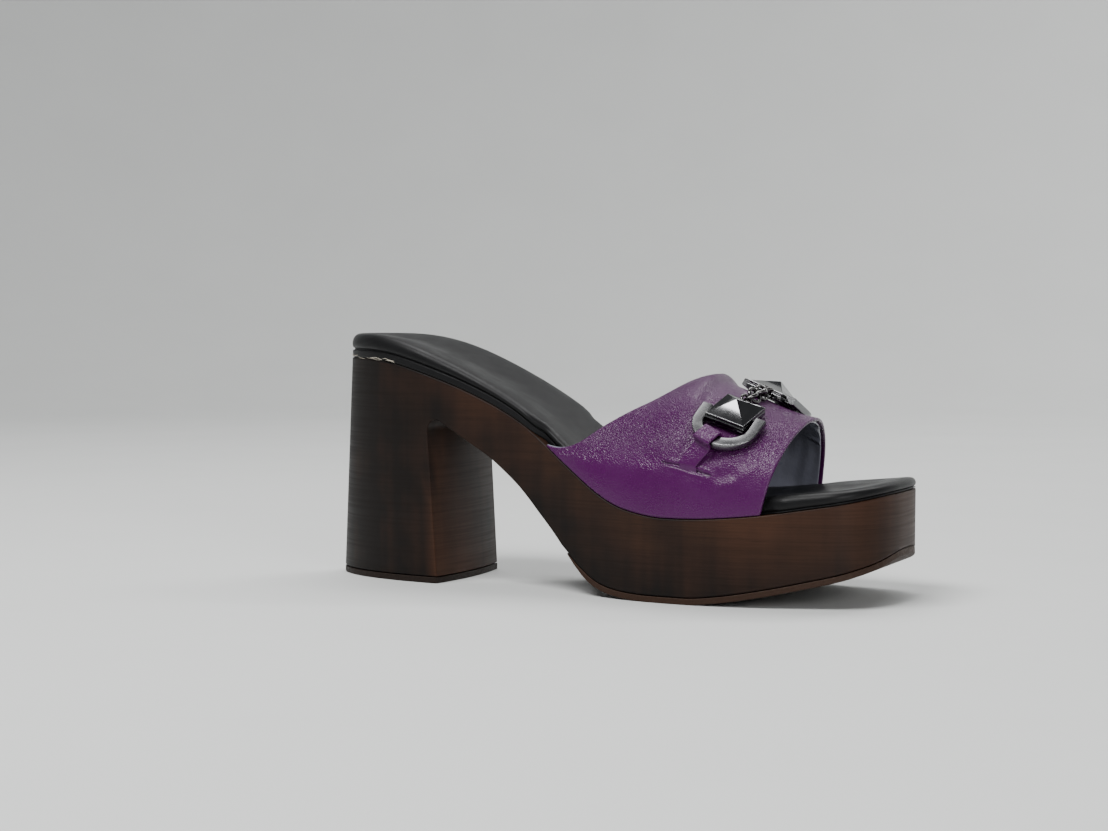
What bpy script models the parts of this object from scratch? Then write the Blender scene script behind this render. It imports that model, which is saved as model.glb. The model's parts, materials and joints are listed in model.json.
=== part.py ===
"""Clog sandal for the right foot: a wood-look platform unit with a block heel, a padded insole,
an open-toed leather vamp, and a metal ornament: two pyramid studs joined by a short chain, and two
rings held by leather tabs.

Metres. +X runs from the heel to the toe, -Y is the outer side of the foot, +Z is up, and the floor
is Z = 0. The functions below measure X from the foot of the heel's back; every piece is then moved
back by ORIGIN_FROM_BACK, which puts the origin on the floor under the middle of the heel.
"""

import math

import bmesh
import bpy
import numpy as np

# Sole unit
LENGTH = 0.2354
ORIGIN_FROM_BACK = 0.030
SEAT_WIDTH = 0.056
WAIST_WIDTH = 0.053
BALL_WIDTH = 0.0805
TOE_WIDTH = 0.064
HEEL_ROUND = 0.052
TOE_ROUND = 0.021
SWING = 0.0040
SEAT_HEIGHT = 0.0875
PLATFORM_HEIGHT = 0.0310
TOE_HEIGHT = 0.0408
SHANK_HEIGHT = 0.0640
TOE_SPRING = 0.0164
WALL_TAPER = 0.0012

# Heel block
HEEL_DEPTH = 0.056
BACK_LEAN = 0.0045
BREAST_LEAN = 0.0037
BREAST_FILLET = 0.0042
BREAST_BULGE = 0.0028

# Layers on and under the unit
OUTSOLE_THICKNESS = 0.0023
OUTSOLE_START = 0.112
OUTSOLE_FEATHER = 0.010
OUTSOLE_LIP = 0.25
TOP_PIECE_THICKNESS = 0.0024
BOARD_THICKNESS = 0.0032
INSOLE_SEAT_THICKNESS = 0.0098
INSOLE_BALL_THICKNESS = 0.0064
INSOLE_TIP_THICKNESS = 0.0047
INSOLE_THINS = (0.10, 0.42)
INSOLE_TIP_THINS = (0.82, 1.0)
INSOLE_ROLL = 0.0055
INSOLE_DISH = 0.0016
FOOTBED_CLEARANCE = 0.0012
GAP = 0.0003

# Vamp
VAMP_WALL = 0.0022
INSTEP_HEIGHT = 0.0825
VAMP_MOUTH_HEIGHT = 0.0660
VAMP_SIDE_HEIGHT = 0.0780
VAMP_FULLNESS = 2.2
CREST_SHIFT = 0.0080
MOUTH_SHIFT = -0.0020
VAMP_LEDGE = 0.0003

# Ornament. Where a size differs from side to side, -1 is the outer side and 1 the inner one.
# The places across and the foot's steps are shares of the way round the vamp.
STUD_LENGTH = 0.0162
STUD_WIDTH = 0.0162
STUD_PLATE = 0.0036
STUD_PYRAMID = 0.0046
STUD_SPACING = 0.0225
ORNAMENT_ALONG = 0.7625 * LENGTH
ORNAMENT_ACROSS = 0.458
ORNAMENT_LEAN = {-1: math.radians(-5.5), 1: math.radians(-3.5)}
ORNAMENT_TILT = {-1: math.radians(6), 1: 0.0}
ORNAMENT_TURN = {-1: math.radians(0), 1: math.radians(6)}
EYE_RADIUS = 0.0022
EYE_WIRE = 0.00055
EYE_SINK = 0.0009
LINKS = 5
LINK_WIRE = 0.00070
LINK_GAP = 0.0006
LINK_LIFT = 0.00295
RING_LENGTH = 0.0256
RING_DEPTH = 0.0113
RING_ARM = 0.0065
RING_BAND = 0.0040
RING_THICKNESS = 0.0028
RING_LIFT = 0.0024
RING_TOP = {-1: 0.0, 1: -0.0045}
RING_DROOP = {-1: math.radians(14.5), 1: math.radians(6)}
RING_TURN = math.radians(4)
TAB_WIDTH = 0.0074
TAB_THICKNESS = 0.0011
TAB_OFFSET = -0.0033
TAB_TURN = math.radians(15)
TAB_SLACK = 0.0007
TAB_FOOT_ALONG = 0.7035 * LENGTH
TAB_FOOT_ACROSS = {-1: 0.107, 1: 0.893}
TAB_FOOT_STEPS = {-1: (0.018, 0.009, 0.0), 1: (0.050, 0.018, 0.0)}

# How finely the curved pieces are cut
HEEL_STATIONS = 14
WAIST_STATIONS = 26
TOE_STATIONS = 8
ACROSS_STEPS = 6
WALL_ROWS = 3
HEEL_ROWS = 4
FILLET_ROWS = 3
VAMP_ACROSS = 30
VAMP_ALONG = 12
RING_STEPS = 22
WIRE_SIDES = 10
WIRE_STEPS = 20


def table(columns, *rows):
    """A short table of shares: one array for each named column."""
    return dict(zip(columns.split(), np.array(rows).T))


# Plan of the unit: how far along the length, which named widths the width is made of,
# and where its centre line runs as a share of SWING.
PLAN = table(
    "along seat waist ball toe centre",
    (0.000, 1.00, 0.00, 0.00, 0.00, 0.00),
    (0.173, 1.00, 0.00, 0.00, 0.00, -0.05),
    (0.275, 0.50, 0.50, 0.00, 0.00, -0.45),
    (0.387, 0.00, 1.00, 0.00, 0.00, -0.85),
    (0.510, 0.00, 0.66, 0.34, 0.00, -1.00),
    (0.632, 0.00, 0.15, 0.85, 0.00, -0.80),
    (0.734, 0.00, 0.00, 1.00, 0.00, -0.55),
    (0.815, 0.00, 0.00, 0.92, 0.08, -0.25),
    (0.897, 0.00, 0.00, 0.50, 0.50, 0.05),
    (1.000, 0.00, 0.00, 0.00, 1.00, 0.50),
)

# Top line of the unit, seen from the side: 1 is the seat's height in the drop column and the
# toe's height in the rise column, and 0 is the platform's height in both.
TOP_LINE = table(
    "along drop rise",
    (0.000, 1.000, 0.000),
    (0.085, 0.997, 0.000),
    (0.144, 0.972, 0.000),
    (0.199, 0.918, 0.000),
    (0.262, 0.835, 0.000),
    (0.309, 0.760, 0.000),
    (0.356, 0.672, 0.000),
    (0.397, 0.578, 0.000),
    (0.431, 0.478, 0.000),
    (0.465, 0.366, 0.000),
    (0.499, 0.262, 0.000),
    (0.533, 0.161, 0.000),
    (0.575, 0.069, 0.000),
    (0.618, 0.022, 0.000),
    (0.668, 0.000, 0.000),
    (0.728, 0.000, 0.030),
    (0.816, 0.000, 0.220),
    (0.879, 0.000, 0.450),
    (0.947, 0.000, 0.720),
    (1.000, 0.000, 1.000),
)

# Under line, from the breast of the heel (along = 0) to the toe tip (1): the arch column is a
# share of SHANK_HEIGHT and the spring column a share of TOE_SPRING.
UNDER_LINE = table(
    "along arch spring",
    (0.000, 1.000, 0.000),
    (0.025, 0.962, 0.000),
    (0.078, 0.872, 0.000),
    (0.135, 0.776, 0.000),
    (0.172, 0.694, 0.000),
    (0.200, 0.625, 0.000),
    (0.227, 0.547, 0.000),
    (0.254, 0.464, 0.000),
    (0.283, 0.379, 0.000),
    (0.310, 0.292, 0.000),
    (0.334, 0.208, 0.000),
    (0.358, 0.132, 0.000),
    (0.384, 0.073, 0.000),
    (0.413, 0.036, 0.000),
    (0.449, 0.014, 0.000),
    (0.490, 0.003, 0.000),
    (0.530, 0.000, 0.000),
    (0.605, 0.000, 0.000),
    (0.675, 0.000, 0.070),
    (0.759, 0.000, 0.230),
    (0.848, 0.000, 0.440),
    (0.942, 0.000, 0.710),
    (0.985, 0.000, 0.925),
    (1.000, 0.000, 1.080),
)

# Free edges of the vamp, from the outer foot (across = 0) over the instep (0.5) to the inner
# foot (1), as shares of LENGTH.
VAMP_EDGES = table(
    "across throat front",
    (0.00, 0.445, 0.821),
    (0.03, 0.465, 0.825),
    (0.10, 0.500, 0.833),
    (0.20, 0.538, 0.844),
    (0.30, 0.585, 0.852),
    (0.40, 0.640, 0.856),
    (0.50, 0.681, 0.855),
    (0.60, 0.651, 0.847),
    (0.70, 0.593, 0.837),
    (0.80, 0.541, 0.827),
    (0.90, 0.501, 0.817),
    (0.97, 0.466, 0.811),
    (1.00, 0.447, 0.808),
)

# Ridge of the vamp, along the length: 1 in the instep column is the instep's height, in the
# mouth column the mouth's, and in the side column that of the quarters behind the throat.
RIDGE = table(
    "along instep mouth side",
    (0.448, 0.000, 0.000, 1.000),
    (0.591, 0.000, 0.000, 1.000),
    (0.681, 1.000, 0.000, 0.000),
    (0.699, 0.790, 0.210, 0.000),
    (0.724, 0.640, 0.360, 0.000),
    (0.766, 0.400, 0.600, 0.000),
    (0.812, 0.160, 0.840, 0.000),
    (0.866, 0.000, 1.000, 0.000),
)

# Steps of a stud, from its foot up: shares of half its length and width, of its plate and of
# its pyramid.
STUD_STEPS = table(
    "spread plate pyramid",
    (0.94, 0.00, 0.00),
    (1.00, 0.18, 0.00),
    (1.00, 0.86, 0.00),
    (0.97, 1.00, 0.00),
    (0.94, 1.00, 0.00),
    (0.03, 1.00, 1.00),
)


def smooth(at, xs, ys):
    """Monotone cubic through the rows of a table: no overshoot between rows."""
    widths = np.diff(xs)
    slopes = np.diff(ys) / widths
    tangents = np.concatenate([slopes[:1], (slopes[1:] + slopes[:-1]) / 2, slopes[-1:]])
    turning = slopes[1:] * slopes[:-1] <= 0
    tangents[1:-1][turning] = 0
    before = np.abs(np.insert(slopes, 0, slopes[0]))
    after = np.abs(np.append(slopes, slopes[-1]))
    limit = 3 * np.minimum(before, after)
    tangents = np.clip(tangents, -limit, limit)
    at = np.clip(at, xs[0], xs[-1])
    k = np.clip(np.searchsorted(xs, at, side="right") - 1, 0, len(widths) - 1)
    t = (at - xs[k]) / widths[k]
    rise = ys[k] + (3 * t**2 - 2 * t**3) * (ys[k + 1] - ys[k])
    return rise + widths[k] * t * (1 - t) * ((1 - t) * tangents[k] - t * tangents[k + 1])


def made_of(rows, at, **sizes):
    """Sum of named sizes, each weighted by the column of its name."""
    return sum(size * smooth(at, rows["along"], rows[name]) for name, size in sizes.items())


def centre_line(x):
    return SWING * smooth(x / LENGTH, PLAN["along"], PLAN["centre"])


def half_width(x):
    """Half the unit's width at its top: the plan's width, closed by an ellipse round the heel
    and by a squarer one round the toe."""
    width = made_of(PLAN, x / LENGTH, seat=SEAT_WIDTH, waist=WAIST_WIDTH, ball=BALL_WIDTH, toe=TOE_WIDTH)
    from_back = np.clip((x - BACK_LEAN) / HEEL_ROUND, 0, 1)
    to_tip = np.clip((x - LENGTH + TOE_ROUND) / TOE_ROUND, 0, 1)
    heel_end = np.sqrt(1 - (1 - from_back) ** 2)
    toe_end = (1 - to_tip**2.5) ** (1 / 2.5)
    return width / 2 * heel_end * toe_end


def tapered_half_width(x, depth):
    """The walls draw in towards the floor: half the width at this depth under the top."""
    half = half_width(x)
    return half - WALL_TAPER * depth / SEAT_HEIGHT * np.clip(4 * half / WAIST_WIDTH, 0, 1)


def top_height(x):
    drop = SEAT_HEIGHT - PLATFORM_HEIGHT
    return PLATFORM_HEIGHT + made_of(TOP_LINE, x / LENGTH, drop=drop, rise=TOE_HEIGHT - PLATFORM_HEIGHT)


def under_height(x):
    """Underside of the shoe, outsole included, in front of the heel."""
    along = (x - HEEL_DEPTH) / (LENGTH - HEEL_DEPTH)
    return made_of(UNDER_LINE, along, arch=SHANK_HEIGHT, spring=TOE_SPRING)


def outsole_share(x):
    """How much of its thickness the outsole has: it feathers in behind the ball."""
    return np.clip((x - OUTSOLE_START) / OUTSOLE_FEATHER, 0, 1)


def wood_under_height(x):
    share = outsole_share(x)
    return under_height(x) + OUTSOLE_THICKNESS * share + GAP * np.minimum(share / OUTSOLE_LIP, 1)


def stations(start, end, taper_start, taper_end):
    """Places along the shoe, closing up towards a rounded end as a circle's points do."""
    spans = []
    if taper_start:
        angles = np.linspace(0, math.pi / 2, HEEL_STATIONS + 1)[:-1]
        spans.append(start + taper_start * (1 - np.cos(angles)))
    steps = WAIST_STATIONS if taper_end else HEEL_STATIONS // 2
    spans.append(np.linspace(start + taper_start, end - taper_end, steps + 1))
    if taper_end:
        angles = np.linspace(0, math.pi / 2, TOE_STATIONS + 1)[1:]
        spans.append(end - taper_end * (1 - np.sin(angles)))
    return np.concatenate(spans)


def body_stations():
    """Stations of the platform, with one where the outsole's lip starts and one where it is whole."""
    lip = OUTSOLE_START + OUTSOLE_LIP * OUTSOLE_FEATHER
    marks = (OUTSOLE_START, lip, OUTSOLE_START + OUTSOLE_FEATHER)
    return np.unique(np.concatenate([stations(HEEL_DEPTH, LENGTH, 0, TOE_ROUND), marks]).round(7))


def grid_faces(rows, columns):
    """Quads of a grid whose points are numbered row by row."""
    first = np.arange(rows - 1)[:, None] * columns + np.arange(columns - 1)
    return np.stack([first, first + 1, first + columns + 1, first + columns], -1).reshape(-1, 4)


def solid(name, panels, material):
    """One closed object from grids of points that share their borders."""
    mesh = bmesh.new()
    for panel in panels:
        rows, columns = panel.shape[:2]
        corners = [mesh.verts.new(point) for point in panel.reshape(-1, 3)]
        for face in grid_faces(rows, columns):
            mesh.faces.new([corners[i] for i in face])
    bmesh.ops.remove_doubles(mesh, verts=mesh.verts, dist=1e-6)
    bmesh.ops.dissolve_degenerate(mesh, edges=mesh.edges, dist=1e-6)
    bmesh.ops.recalc_face_normals(mesh, faces=mesh.faces)
    data = bpy.data.meshes.new(name)
    mesh.to_mesh(data)
    mesh.free()
    return piece(name, data, material)


def piece(name, data, material):
    data.materials.append(material)
    data.shade_smooth()
    data.set_sharp_from_angle(angle=math.radians(35))
    made = bpy.data.objects.new(name, data)
    made.location.x = -ORIGIN_FROM_BACK
    bpy.data.collections["clog_sandal"].objects.link(made)
    return made


def loop(lateral, medial):
    """Closed outline: forward along the outer side and back along the inner one."""
    return np.concatenate([lateral, medial[-2:0:-1]])


def rungs(ring, sag=None):
    """Grid that fills an outline made by loop(), from its outer to its inner side."""
    half = len(ring) // 2 + 1
    lateral = ring[:half]
    medial = np.concatenate([ring[:1], ring[:half - 1:-1], ring[half - 1:half]])
    across = np.linspace(0, 1, ACROSS_STEPS + 1)
    grid = lateral[:, None] * (1 - across)[:, None] + medial[:, None] * across[:, None]
    if sag is not None:
        grid[..., 2] -= sag(grid[..., 0]) * 4 * across * (1 - across)
    return grid


def skin(name, rings, material, sag=None):
    """Closed object from a stack of outlines with as many points each, top outline last."""
    walls = np.stack([np.concatenate([ring, ring[:1]]) for ring in rings])
    return solid(name, [rungs(rings[0]), walls, rungs(rings[-1], sag)], material)


def plan_loop(x, inset, height):
    """The unit's outline at these stations, moved inwards by inset, at the given height."""
    half, centre = half_width(x), centre_line(x)
    ring = loop(np.stack([x, centre - half], -1), np.stack([x, centre + half], -1))
    ahead = np.roll(ring, -1, 0) - np.roll(ring, 1, 0)
    inward = np.stack([-ahead[:, 1], ahead[:, 0]], -1)
    inward /= np.linalg.norm(inward, axis=1)[:, None]
    if np.ndim(inset):
        inset = loop(inset, inset)[:, None]
    ring = ring + inward * inset
    return np.column_stack([ring, height(ring[:, 0])])


def wood_point(x, row, across):
    """Point of the wooden unit. row counts down from its top: up to WALL_ROWS it runs to the
    underside, and beyond that down the heel. across is 0 on the outer side and 1 on the inner."""
    x, row, across = np.broadcast_arrays(np.asarray(x, float), row, across)
    top = top_height(x)
    heel = x < HEEL_DEPTH + GAP / 2
    middle = np.where(heel, wood_under_height(HEEL_DEPTH), wood_under_height(x))
    floor = TOP_PIECE_THICKNESS + GAP
    below = np.clip(row - WALL_ROWS, 0, HEEL_ROWS + FILLET_ROWS)
    fillet_turn = np.clip(below / FILLET_ROWS, 0, 1) * math.pi / 2
    fillet_z = BREAST_FILLET * (1 - np.cos(fillet_turn))
    straight = np.clip((below - FILLET_ROWS) / HEEL_ROWS, 0, 1)
    z = top + (middle - top) * np.clip(row / WALL_ROWS, 0, 1)
    z = z - fillet_z - straight * (middle - BREAST_FILLET - floor)
    forward = np.clip((x - BACK_LEAN) / (HEEL_DEPTH - BACK_LEAN), 0, 1)
    back = -BACK_LEAN * (1 - z / SEAT_HEIGHT)
    breast = -BREAST_FILLET * np.sin(fillet_turn) + BREAST_LEAN * straight
    bulge = BREAST_BULGE * 4 * across * (1 - across) * np.clip(below / FILLET_ROWS, 0, 1)
    side = x + forward**2 * breast * heel
    half = tapered_half_width(side, top - z)
    shift = (1 - forward) * back * heel + forward**2 * bulge * heel
    y = centre_line(side) - half + 2 * half * across
    return np.stack([side + shift, y, z], -1)


def make_wooden_sole(material):
    heel = stations(BACK_LEAN, HEEL_DEPTH, HEEL_DEPTH - BACK_LEAN, 0)[:HEEL_STATIONS + 1]
    body = body_stations()
    every = np.concatenate([heel[:-1], body])
    wall = np.arange(WALL_ROWS + 1)
    block = np.arange(WALL_ROWS, WALL_ROWS + FILLET_ROWS + HEEL_ROWS + 1)
    across = np.linspace(0, 1, ACROSS_STEPS + 1)
    panels = [wood_point(every[:, None], 0, across), wood_point(body[:, None], WALL_ROWS, across)]
    for side in (0, 1):
        panels.append(wood_point(every[:, None], wall, side))
        panels.append(wood_point(heel[:, None], block, side))
    panels.append(wood_point(HEEL_DEPTH, block[:, None], across))
    panels.append(wood_point(heel[:, None], block[-1], across))
    return solid("wooden_sole", panels, material)


def make_heel_top_piece(material):
    """Wearing piece under the heel, with the block's own outline."""
    x = stations(BACK_LEAN, HEEL_DEPTH, HEEL_DEPTH - BACK_LEAN, 0)[:HEEL_STATIONS + 1]
    across = np.linspace(0, 1, ACROSS_STEPS + 1)
    bottom_row = WALL_ROWS + FILLET_ROWS + HEEL_ROWS
    face = wood_point(x[:, None], bottom_row, across)
    levels = []
    for height in (0.0, TOP_PIECE_THICKNESS):
        level = face.copy()
        level[..., 2] = height
        levels.append(level)
    low, high = levels
    panels = [low, high]
    for edge in (np.s_[:, 0], np.s_[:, -1], np.s_[-1, :]):
        panels.append(np.stack([low[edge], high[edge]]))
    return solid("heel_top_piece", panels, material)


def make_outsole(material):
    """Thin tread under the platform, feathered behind the ball and following the toe spring."""
    every = body_stations()
    x = every[every > OUTSOLE_START + OUTSOLE_FEATHER * OUTSOLE_LIP / 2]
    across = np.linspace(0, 1, ACROSS_STEPS + 1)
    half = tapered_half_width(x, top_height(x) - under_height(x))
    y = centre_line(x)[:, None] + half[:, None] * (2 * across - 1)
    wide = np.broadcast_to(x[:, None], y.shape)
    thickness = OUTSOLE_THICKNESS * outsole_share(wide)
    low = np.stack([wide, y, under_height(wide)], -1)
    high = np.stack([wide, y, under_height(wide) + thickness], -1)
    panels = [low, high]
    for edge in (np.s_[:, 0], np.s_[:, -1], np.s_[0, :]):
        panels.append(np.stack([low[edge], high[edge]]))
    return solid("outsole", panels, material)


def eased(at, start, end):
    """0 before start and 1 after end, with a soft step between them."""
    share = np.clip((at - start) / (end - start), 0, 1)
    return share * share * (3 - 2 * share)


def insole_thickness(x):
    ball = eased(x / LENGTH, *INSOLE_THINS) * (INSOLE_BALL_THICKNESS - INSOLE_SEAT_THICKNESS)
    tip = eased(x / LENGTH, *INSOLE_TIP_THINS) * (INSOLE_TIP_THICKNESS - INSOLE_BALL_THICKNESS)
    return INSOLE_SEAT_THICKNESS + ball + tip


def under_vamp(x, across):
    """1 where the vamp's foot stands on the unit's rim, easing to 0 past its ends."""
    edges = VAMP_EDGES
    back = smooth(across, edges["across"], edges["throat"]) * LENGTH
    front = smooth(across, edges["across"], edges["front"]) * LENGTH
    ease = VAMP_WALL + FOOTBED_CLEARANCE
    inside = np.minimum(x - back + 2 * ease, front + 2 * ease - x) / ease
    return np.clip(inside, 0, 1)


def insole_inset(x):
    outer = under_vamp(x, 0.0)
    inner = under_vamp(x, 1.0)
    return (VAMP_LEDGE + VAMP_WALL + FOOTBED_CLEARANCE) * np.maximum(outer, inner)


def make_insole(material):
    """Padded footbed: a board's upright edge, a roll over it, and a top that dishes."""
    x = stations(BACK_LEAN, LENGTH, HEEL_ROUND, TOE_ROUND)
    inset = insole_inset(x)
    rings = [plan_loop(x, inset + GAP, lambda at: top_height(at) + GAP)]
    rings.append(plan_loop(x, inset, lambda at: top_height(at) + BOARD_THICKNESS))
    for turn in np.linspace(0, math.pi / 2, 5)[1:]:
        lift = BOARD_THICKNESS
        into = INSOLE_ROLL * (1 - math.cos(turn))
        share = math.sin(turn)
        rings.append(plan_loop(
            x, inset + into,
            lambda at, share=share: top_height(at) + lift + (insole_thickness(at) - lift) * share,
        ))
    return skin("insole", rings, material, lambda at: np.full_like(at, INSOLE_DISH))


def vamp_point(x, across, lift=0.0):
    """Point of the vamp's outer face: a fuller arch than an ellipse, from the unit's outer rim
    over the ridge to its inner rim. lift moves it out along the arch's own normal."""
    x, across = np.broadcast_arrays(np.asarray(x, float), across)
    turn = math.pi * across
    half = half_width(x) - VAMP_LEDGE
    foot = top_height(x) + GAP
    ridge = made_of(RIDGE, x / LENGTH, instep=INSTEP_HEIGHT, mouth=VAMP_MOUTH_HEIGHT, side=VAMP_SIDE_HEIGHT)
    power = 2 / VAMP_FULLNESS
    cosine, sine = np.cos(turn), np.sin(turn)
    shift = made_of(RIDGE, x / LENGTH, instep=CREST_SHIFT, mouth=MOUTH_SHIFT, side=CREST_SHIFT)
    y = centre_line(x) - half * np.sign(cosine) * np.abs(cosine) ** power + shift * sine**2
    z = foot + (ridge - foot) * np.abs(sine) ** power
    point = np.stack([x, y, z], -1)
    if np.any(lift):
        point = point + vamp_normal(x, across) * np.asarray(lift)[..., None]
    return point


def vamp_normal(x, across):
    """Unit normal of the vamp's outer face, from differences along and across it."""
    step, turn = 1e-4, 1e-4
    along = vamp_point(x + step, across) - vamp_point(x - step, across)
    round_it = vamp_point(x, np.clip(across + turn, 0, 1)) - vamp_point(x, np.clip(across - turn, 0, 1))
    normal = np.cross(along, round_it)
    return normal / np.linalg.norm(normal, axis=-1, keepdims=True)


def make_vamp(material):
    """Open leather arch, its wall turned inwards from the outer face."""
    across = np.linspace(0, 1, VAMP_ACROSS + 1)
    share = np.linspace(0, 1, VAMP_ALONG + 1)[:, None]
    throat = smooth(across, VAMP_EDGES["across"], VAMP_EDGES["throat"]) * LENGTH
    front = smooth(across, VAMP_EDGES["across"], VAMP_EDGES["front"]) * LENGTH
    x = throat + (front - throat) * share
    outer = vamp_point(x, across)
    normal = vamp_normal(x, across)
    flat = np.clip(np.minimum(across, 1 - across) * VAMP_ACROSS / 3, 0, 1)[:, None]
    normal = normal * np.stack([flat[:, 0], np.ones_like(flat[:, 0]), flat[:, 0]], -1)
    normal /= np.linalg.norm(normal, axis=-1, keepdims=True)
    inner = outer - normal * VAMP_WALL
    panels = [outer, inner]
    for edge in (np.s_[0, :], np.s_[-1, :], np.s_[:, 0], np.s_[:, -1]):
        panels.append(np.stack([outer[edge], inner[edge]]))
    return solid("vamp", panels, material)


def vamp_frame(reach, side, tilt=0.0):
    """Axes on the vamp at a distance walked down its outer face from the ornament's middle:
    a point of the face, then forward, down the side and outward. side is -1 on the outer side
    of the foot and 1 on the inner. tilt lifts the down axis off the face."""
    shares = np.linspace(ORNAMENT_ACROSS, ORNAMENT_ACROSS + side * 0.5, 400)
    path = vamp_point(ORNAMENT_ALONG, np.clip(shares, 0, 1))
    walked = np.concatenate([[0], np.cumsum(np.linalg.norm(np.diff(path, axis=0), axis=1))])
    across = np.interp(reach * math.cos(ORNAMENT_LEAN[side]), walked, np.clip(shares, 0, 1))
    x = ORNAMENT_ALONG + reach * math.sin(ORNAMENT_LEAN[side])
    out = vamp_normal(x, across)
    forward = vamp_point(x + 1e-4, across) - vamp_point(x, across)
    forward /= np.linalg.norm(forward)
    outer_side = np.cross(forward, out)
    turn = ORNAMENT_TURN[side]
    forward = forward * math.cos(turn) + outer_side * math.sin(turn)
    down = np.cross(forward, out) * -side
    flatter = down * math.cos(tilt) + out * math.sin(tilt)
    return vamp_point(x, across), forward, flatter, out * math.cos(tilt) - down * math.sin(tilt)


def placed(points, frame):
    """Points given as forward, down and outward distances, put into the shoe."""
    origin, forward, down, out = frame
    return origin + points[..., :1] * forward + points[..., 1:2] * down + points[..., 2:3] * out


def tube(path, section, closed):
    """Grid of a section carried along a path: section gives sideways and outward distances."""
    ahead = np.roll(path, -1, 0) - np.roll(path, 1, 0)
    if not closed:
        ahead[0] = path[1] - path[0]
        ahead[-1] = path[-1] - path[-2]
    ahead = ahead / np.linalg.norm(ahead, axis=1)[:, None]
    up = np.array([0.0, 0.0, 1.0])
    sideways = np.cross(ahead, up)
    grid = path[:, None] + sideways[:, None] * section[:, :1] + up * section[:, 1:]
    return np.concatenate([grid, grid[:1]]) if closed else grid


def capped(grid):
    """A tube's grid with both its ends filled."""
    ends = []
    for end in (grid[0], grid[-1]):
        half = (len(end) - 1) // 2
        ends.append(np.stack([end[:half + 1], end[::-1][:half + 1]]))
    return [grid] + ends


def circle(radius, sides):
    angles = np.linspace(0, 2 * math.pi, sides + 1)
    return np.stack([radius * np.cos(angles), radius * np.sin(angles)], -1)


def box_section(width, height, edge):
    """Closed eight-cornered section of a flat band with eased edges."""
    w, h = width / 2, height / 2
    half = [(-w, 0), (-w, h - edge), (-w + edge, h), (w - edge, h), (w, h - edge), (w, 0)]
    rest = [(w, edge - h), (w - edge, -h), (edge - w, -h), (-w, edge - h), (-w, 0)]
    return np.array(half + rest)


def stud_frame(side):
    return vamp_frame((STUD_SPACING + STUD_WIDTH) / 2, side, tilt=ORNAMENT_TILT[side])


def stud_grid():
    """Stacked outlines of a stud: an eased plate, a ledge and a low pyramid."""
    corners = np.array([(-1, -1), (1, -1), (1, 1), (-1, 1), (-1, -1)]) / 2
    size = np.array([STUD_LENGTH, STUD_WIDTH])
    heights = GAP + STUD_STEPS["plate"] * STUD_PLATE + STUD_STEPS["pyramid"] * STUD_PYRAMID
    rows = [np.column_stack([corners * size * spread, np.full(5, height)])
            for spread, height in zip(STUD_STEPS["spread"], heights)]
    return np.stack(rows)


def torus_grid(radius, wire):
    """Ring of round wire in the forward and down plane."""
    turns = np.linspace(0, 2 * math.pi, WIRE_STEPS + 1)[:-1]
    path = np.stack([radius * np.cos(turns), radius * np.sin(turns), 0 * turns], -1)
    return tube(path, circle(wire, WIRE_SIDES), True)


def rolled(points, angle):
    """Points turned about the down axis, as the links of a chain stand."""
    c, s = math.cos(angle), math.sin(angle)
    return np.stack([points[..., 0] * c + points[..., 2] * s, points[..., 1],
                     points[..., 2] * c - points[..., 0] * s], -1)


def link_radius():
    """Radius of a link, so that LINKS of them and the two eyes just span the studs' spacing."""
    span = STUD_SPACING - 2 * EYE_SINK
    ends = 2 * (EYE_RADIUS - EYE_WIRE - LINK_WIRE - LINK_GAP)
    fixed = ends - (LINKS - 1) * (2 * LINK_WIRE + LINK_GAP)
    return (span - fixed) / (2 * LINKS)


def link_roll(place):
    """Neighbours in the chain stand crosswise, each half way between flat and upright."""
    return math.radians(45) * (-1) ** place


def make_stud(side, name, material):
    """Pyramid stud with a small wire eye towards the crest, joined as one casting."""
    frame = stud_frame(side)
    grid = stud_grid()
    foot = np.stack([grid[0, :2], grid[0, 3:1:-1]])
    tip = np.stack([grid[-1, :2], grid[-1, 3:1:-1]])
    body = solid(name, [placed(part, frame) for part in (grid, foot, tip)], material)
    place = 0 if side < 0 else LINKS + 1
    wire = rolled(torus_grid(EYE_RADIUS, EYE_WIRE), link_roll(place)) + (0, 0, LINK_LIFT)
    at_edge = vamp_frame(STUD_SPACING / 2 - EYE_SINK, side)
    eye = solid(name + "_eye", [placed(wire, at_edge)], material)
    bpy.data.collections["clog_sandal"].objects.unlink(eye)
    bpy.data.collections["cutters"].objects.link(eye)
    eye.hide_render = True
    eye.display_type = "WIRE"
    join = body.modifiers.new("eye", "BOOLEAN")
    join.operation = "UNION"
    join.object = eye
    return body


def make_link(place, material):
    """One round link of the chain over the crest, counted from the outer stud."""
    radius = link_radius()
    pitch = 2 * (radius - LINK_WIRE) - LINK_GAP
    offset = (place - (LINKS + 1) / 2) * pitch
    frame = vamp_frame(abs(offset), -1 if offset < 0 else 1)
    grid = rolled(torus_grid(radius, LINK_WIRE), link_roll(place)) + (0, 0, LINK_LIFT)
    return solid(f"chain_link_{place}", [placed(grid, frame)], material)


def ring_frame(side):
    """The stud's axes, drooping towards the vamp's foot and turned a little in their plane."""
    origin, forward, down, out = stud_frame(side)
    droop = RING_DROOP[side]
    down, out = (down * math.cos(droop) - out * math.sin(droop),
                 out * math.cos(droop) + down * math.sin(droop))
    forward, down = (forward * math.cos(RING_TURN) - down * math.sin(RING_TURN),
                     down * math.cos(RING_TURN) + forward * math.sin(RING_TURN))
    return origin, forward, down, out


def ring_bar(along):
    """How far down its axis a ring's centre line lies, at a place along its bow."""
    half = (RING_LENGTH - RING_BAND) / 2
    return RING_ARM + (RING_DEPTH - RING_BAND / 2) * np.sqrt(1 - (along / half) ** 2)


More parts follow.
